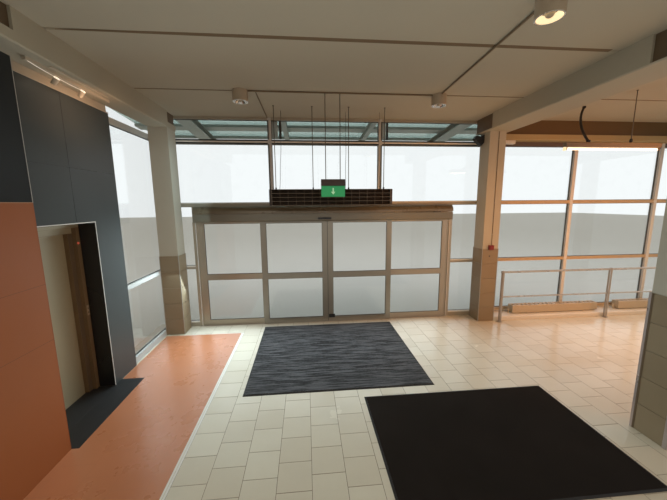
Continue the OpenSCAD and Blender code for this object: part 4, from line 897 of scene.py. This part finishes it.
def sill_highlights():
    """Painted highlight: white strips on the sills and mid rails of the lights beside the door, where
    daylight falls on them.
    """
    boxes("sill_highlights", [
        (x0, y0, z - 0.020, x1, y1, z + 0.004)
        for x0, x1 in ((-3.003, -2.532), (2.532, 3.117)) for z in (0.100, 1.210)
        for y0, y1 in ((-0.0655, -0.018), (0.018, 0.038))
    ], 0.002, "white")


def transom_trims():
    """Painted highlight lines and dark shadow lines along the upper transom, and a painted highlight line
    under the door's.
    """
    face, out = -0.0595, -0.0625
    # Painted highlight: a white line along the lit top of each transom
    highlights = [(x0, out, 3.486, x1, face, 3.513) for x0, x1 in UPPER]
    highlights.append((-3.002, out, 2.387, 3.116, face, 2.3995))
    boxes("transom_highlight_line", highlights, 0.0006, "white")
    boxes("transom_dark_lines", [
        (x0, out + 0.001, z0, x1, face, z1)
        for x0, x1 in UPPER for z0, z1 in ((3.4605, 3.485), (3.514, 3.5395))
    ], 0.0006, "gasket")


def mullion_shade_strips():
    """Painted shade: a dark strip on one edge of each upper mullion, on the room side, where the front
    face lies in shade.
    """
    boxes("mullion_shade_strips", [
        (x0, -0.0635, z0, x1, -0.0592, z1)
        for x0, x1 in ((-1.0805, -1.054), (1.037, 1.0635)) for z0, z1 in ((2.402, 3.458), (3.542, 3.883))
    ], 0.0012, "mullion_painted_shade")


def canopy_overhang():
    """Purlins and glass that run on past the right rafter: an eight-cornered section that
    follows the fall of the canopy, height = 4.27 - 0.2 (y - 0.09) / 2.51, from end to end."""
    root, edge, cut = 0.09, 2.60, 0.003
    parts = []
    for x0, x1, y0, y1, lift, thick in (
        (3.3033, 4.553, 1.6462, 1.9262, 0.0003, 0.060),
        (3.3033, 4.553, edge - 0.08, edge, 0.0003, 0.060),
        (3.3033, 4.553, root, root + 0.08, 0.0003, 0.060),
        (3.163, 4.543, root, edge, 0.0606, 0.016),
    ):
        y, up = np.array([
            (y0 + cut, 0), (y1 - cut, 0), (y1, cut), (y1, thick - cut),
            (y1 - cut, thick), (y0 + cut, thick), (y0, thick - cut), (y0, cut),
        ]).T
        z = FLOOR + 4.27 - 0.2 * (y - root) / (edge - root) + lift + up
        points = np.concatenate([np.column_stack([np.full(8, x), y, z]) for x in (x0, x1)])
        parts.append((points, closed_grid(2, 8)))
    add_piece("canopy_end_purlins", *joined(parts[:3]), "canopy")
    add_piece("canopy_end_pane", *parts[3], "green_glass")


def clerestory_plates():
    """Pale plate and black bar that hang from the fascia beside each upper mullion."""
    boxes("clerestory_plates", [
        (-1.022, 0.0895, 3.60, -0.905, 0.1015, 4.03), (1.096, 0.0895, 3.60, 1.166, 0.1015, 4.03),
    ], 0.003, "white")
    boxes("clerestory_bars", [
        (-0.880, 0.0895, 3.59, -0.835, 0.125, 4.03), (1.180, 0.0895, 3.59, 1.216, 0.125, 4.03),
    ], 0.003, "plastic")


def pane_seals(x0, x1, faces):
    """Seals round the two panes of a leaf or screen, on both faces of the glass."""
    return [strip for z0, z1 in LEAF_PANES for y0, y1 in faces
            for strip in seals(x0, x1, z0, z1, y0, y1, 0.005)]


def door_seals():
    """Seals of the leaves and screens, the meeting lips, the lock at the foot, and the pale
    strips on the door posts."""
    for body, s in LEAVES.items():
        x0, x1 = sorted((s * 0.104, s * 1.176))
        items = pane_seals(x0, x1, ((-0.0845, -0.0798), (-0.0702, -0.0655)))
        boxes(body + "_seals", items, 0.0008, "gasket", body)
        boxes(body + "_meeting_lip", [
            (s * 0.0004, -0.090, 0.014, s * 0.0045, -0.060, 2.076),
        ], 0.001, "gasket", body)
    boxes("right_leaf_lock", [
        (0.012, -0.104, 0.086, 0.134, -0.0955, 0.160),
    ], 0.003, "plastic", "right_leaf")
    items = []
    for x0, x1 in ((-2.336, -1.288), (1.288, 2.336)):
        items += pane_seals(x0, x1, ((-0.0305, -0.0258), (-0.0162, -0.0115)))
    boxes("screen_seals", items, 0.0008, "gasket")
    boxes("door_post_strips", [
        (s * 2.4695, -0.0685, 0.004, s * 2.4805, -0.0655, 2.0445) for s in (-1, 1)
    ], 0.001, "cream_z")


def header_fittings():
    """Curled end of the cover at the right: a strip 6 mm thick, whose radius falls from 30 to
    19 mm over a little more than one turn; and the sensor's small dot."""
    t = np.linspace(0, 1, 40)
    a, r = math.radians(100) + t * 2 * math.pi * 1.05, 0.030 - 0.011 * t
    x0, x1, thick = 2.4505, 2.457, 0.006
    points = np.stack([
        np.column_stack([np.full(40, x), -0.196 + (r - off) * np.cos(a),
                         FLOOR + 2.262 + (r - off) * np.sin(a)])
        for x, off in ((x0, 0), (x0, thick), (x1, thick), (x1, 0))
    ], 1)
    add_piece("header_end_curl", points, closed_grid(40, 4), "plastic")
    boxes("header_sensor_dot", [(-0.058, -0.2425, 2.225, -0.046, -0.2395, 2.237)], 0.001, "plastic")


# Air curtain and sign

ROD_X = (-0.896, -0.277, 0.324, 0.930)


def curtain_fittings():
    """Louvre blades behind the grille, clamps on top at the rods, and three thin cables that
    run straight to the ceiling, but that x moves by bow sin(pi t) + 3 mm sin(5 pi t)."""
    x0, x1, z0, z1 = -0.952, 1.002, 2.364, 2.586
    blade = np.array([(-0.913, -0.006), (-0.909, -0.009), (-0.889, 0.006), (-0.893, 0.009)])
    parts = []
    for level in FLOOR + np.linspace(z0, z1, 11):
        ends = [np.column_stack([np.full(4, x), blade + (0, level)]) for x in (x0, x1)]
        parts.append((np.concatenate(ends), closed_grid(2, 4)))
    add_piece("curtain_blades", *joined(parts), "louvre")
    clamps = []
    for x in ROD_X:
        clamps += [(x - 0.030, -0.770, 2.604, x + 0.030, -0.720, 2.612),
                   (x - 0.012, -0.757, 2.610, x + 0.012, -0.733, 2.640)]
    boxes("curtain_clamps", clamps, 0.002, "plastic")
    t = np.linspace(0, 1, 24)[:, None]
    wires = []
    for foot_x, head_x, head_y, bow in ((-0.835, -0.800, -0.480, 0.010), (0.859, 0.905, -0.481, -0.012),
                                        (0.268, 0.304, -0.490, 0.008)):
        foot, head = np.array([foot_x, -0.745, 2.604]), np.array([head_x, head_y, CEILING])
        path = foot * (1 - t) + head * t + (0, 0, FLOOR)
        path[:, :1] += bow * np.sin(np.pi * t) + 0.003 * np.sin(5 * np.pi * t)
        wires.append(path)
    tubes("curtain_cables", wires, 0.0035, "wire", 8)


def sign_faces():
    """Lit green panels on both sides of the sign, with a plain arrow that points down."""
    x0, x1, z0, z1, arrow_z, thick = -0.171, 0.181, 2.472, 2.629, 2.550, 0.003
    arrow = np.array([(-0.010, 0.050), (0.010, 0.050), (0.010, -0.005), (0.034, -0.005),
                      (0.0, -0.046), (-0.034, -0.005), (-0.010, -0.005)])
    for side, y, out, plan in (("room", -1.3605, -thick, arrow[::-1]), ("door", -1.3395, thick, arrow)):
        boxes("sign_panel_" + side, [(x0, y, z0, x1, y + out, z1)], 0.001, "sign")
        x, z = (x0 + x1) / 2 + plan[:, 0], FLOOR + arrow_z + plan[:, 1]
        ends = [np.column_stack([x, np.full(7, y + out * share), z]) for share in (0.9, 1.5)]
        faces = grid_quads(2, 7) + [list(range(7, 14))]
        add_piece("sign_arrow_" + side, np.concatenate(ends), faces, "arrow")


# Lights

LIGHT_PLACES = [(-1.283, -1.385), (1.575, -1.385), (1.505, -3.535)]
LIT_ONE = 2
LIGHT_DEPTH = 0.150
TUBE_X, TUBE_Y, TUBE_Z = 3.30, -1.77, FLOOR + 3.118


def downlights():
    """Reflectors, rims and lamps of the ceiling lights: a bowl whose height = depth (1 - s^2),
    with s from 0 at the lamp to 1 at the rim, and a round lamp; the third light is lit, and its reflector
    glows with painted light."""
    s, a = np.linspace(0, 1, 12), np.radians(np.linspace(-90, 20, 12))
    bowl = np.column_stack([0.034 + 0.0575 * s, 0.056 * (1 - s ** 2) + 0.0015])
    rim = [(0.0935, 0.003), (0.0935, -0.0015), (0.1045, -0.0015), (0.1045, 0.004)]
    lamp = np.column_stack([0.0335 * np.cos(a), 0.038 + 0.0335 * np.sin(a)])
    centres = [(x, y, FLOOR + CEILING - LIGHT_DEPTH) for x, y in LIGHT_PLACES]
    bowls, lamps = [turned(bowl, c, 40) for c in centres], [turned(lamp, c, 28) for c in centres]
    painted_glow_bowl, lit_lamp = bowls.pop(LIT_ONE), lamps.pop(LIT_ONE)
    bowls += [turned(rim, c, 40) for c in centres]
    add_piece("light_reflectors", *joined(bowls), "mirror", smooth=True)
    add_piece("light_lamps", *joined(lamps), "lamp_off", smooth=True)
    # Painted light: the lit light's reflector glows in place of the lamp's light in the bowl
    add_piece("lit_reflector", *painted_glow_bowl, "glow", smooth=True)
    add_piece("lit_lamp", *lit_lamp, "bulb", smooth=True)


def batten_tube():
    """The lit tube with metal end caps, its holder, which glows with painted light, and the knob on the
    batten.
    """
    def rod(radius, start, end):
        profile = [(0.0, start), (radius, start), (radius, end), (0.0, end)]
        return turned(profile, (TUBE_X, TUBE_Y, TUBE_Z), 28, "X")

    add_piece("lit_tube", *rod(0.0138, 0.036, 1.464), "tube")
    add_piece("tube_caps", *joined([rod(0.0148, u, u + 0.018) for u in (0.020, 1.462)]), "mirror")
    # Painted light: the holder glows as if lit by the tube
    boxes("tube_holder", [(3.288, -1.788, 3.094, 3.318, -1.752, 3.142)], 0.004, "glow")
    knob = [(0.0, -0.02), (0.016, -0.02), (0.02, 0.0), (0.016, 0.03), (0.0, 0.034)]
    knob_place = (TUBE_X + 1.03, TUBE_Y, TUBE_Z + 0.117)
    add_piece("batten_knob", *turned(knob, knob_place, 20), "plastic", smooth=True)


# Roof


def roof_cover():
    """Sheet on the roof planks with its seams and a raised edge."""
    x0, x1 = low("roof_planks")[0] + 0.01, high("roof_planks")[0] - 0.01
    y0, y1, z = low("roof_planks")[1] + 0.01, 0.048, CEILING + 0.2195
    edge, kerb = 0.08, z + 0.045
    boxes("roof_seams", [
        (x, y0 + edge, z + 0.006, x + 0.09, -0.03, z + 0.011) for x in np.arange(x0 + 1.0, x1 - 0.5, 1.05)
    ], 0.002, "seam")
    boxes("roof_membrane", [
        (x0, y0, z, x1, y1, z + 0.008),
        (x0, y0, z, x0 + edge, y1 - 0.001, kerb),
        (x1 - edge, y0, z, x1, y1 - 0.001, kerb),
        (x0, y0, z, x1, y0 + edge, kerb),
    ], 0.003, "membrane")


# Assembly

place_camera()
light_world(0.43)
place_lamp("hall_light", (0.4, -7.2, 4.4), (0.2, 0, 0.8), (5.6, 2.5), 11, (1.0, 0.86, 0.62), 75)
place_lamp("warm_light", (6.9, -4.3, 3.0), (2.9, -0.3, 1.9), (2.6, 1.6), 29, (1.0, 0.27, 0.04), 90)
place_lamp("warm_door", (1.75, -1.7, 2.05), (2.05, -0.2, 2.25), (0.9, 0.4), 13, (1.0, 0.44, 0.10))
place_lamp("bay_light", (5.9, -2.6, 3.75), (5.9, -1.0, 0.0), (4.5, 2.0), 44, (1.0, 0.50, 0.20), 110)
place_lamp("bay_up", (5.6, -2.2, 0.6), (5.6, -2.2, 4.0), (3.5, 2.0), 17, (1.0, 0.52, 0.20))
place_lamp("day_door", (0.0, -0.35, 1.35), (0.0, -4.0, 0.1), (4.6, 1.9), 70, (0.77, 0.93, 1.0), 140)
place_lamp("day_bay", (6.0, -0.55, 1.6), (6.0, -4.0, 0.2), (5.0, 2.0), 37, (1.0, 0.98, 1.0), 140)
place_lamp("day_left", (-2.2, -0.55, 2.1), (-3.2, -0.25, 2.0), (0.5, 3.0), 6, (0.68, 0.92, 1.0))
place_lamp("day_walk", (-2.3, -0.6, 1.6), (-2.2, -3.4, 0.0), (1.2, 1.6), 45, (0.76, 0.93, 1.0))
place_lamp("spot_glow", (-2.60, -2.15, 3.56), (-3.0, -2.05, 3.44), (0.7, 0.08), 2.1, (1.0, 0.62, 0.38))
place_lamp("top_light", (2.4, 3.0, 13.0), (2.4, 0.5, 0.0), (16, 10), 570, (0.97, 0.98, 1.0))
place_lamp("ceiling_fill", (0.0, -2.2, 0.5), (0.0, -2.2, 4.0), (4.0, 2.5), 6, (1.0, 0.93, 0.80))
dress_frame()
floor_tiles()
walkway()
mats()
column_tiles()
ceiling_joints()
side_wall_fittings()
spot_fittings()
column_fittings()
glazing_seals()
sill_highlights()
transom_trims()
clerestory_plates()
mullion_shade_strips()
canopy_overhang()
door_seals()
header_fittings()
curtain_fittings()
sign_faces()
downlights()
batten_tube()
roof_cover()


def ground():
    """Pale floor round the object."""
    f = Finish("studio_floor", (0.76, 0.78, 0.80), 0.6)
    f.paint(f.blend(f.noise(0.3, 3), f.tone(0.97), f.tone(1.02)))
    mesh = bpy.data.meshes.new("studio_floor")
    s = 60
    mesh.from_pydata([(-s, -s, 0), (s, -s, 0), (s, s, 0), (-s, s, 0)], [], [(0, 1, 2, 3)])
    mesh.materials.append(f.material)
    floor = bpy.data.objects.new("studio_floor", mesh)
    bpy.context.scene.collection.objects.link(floor)


ground()

bpy.context.scene.view_settings.view_transform = "Standard"
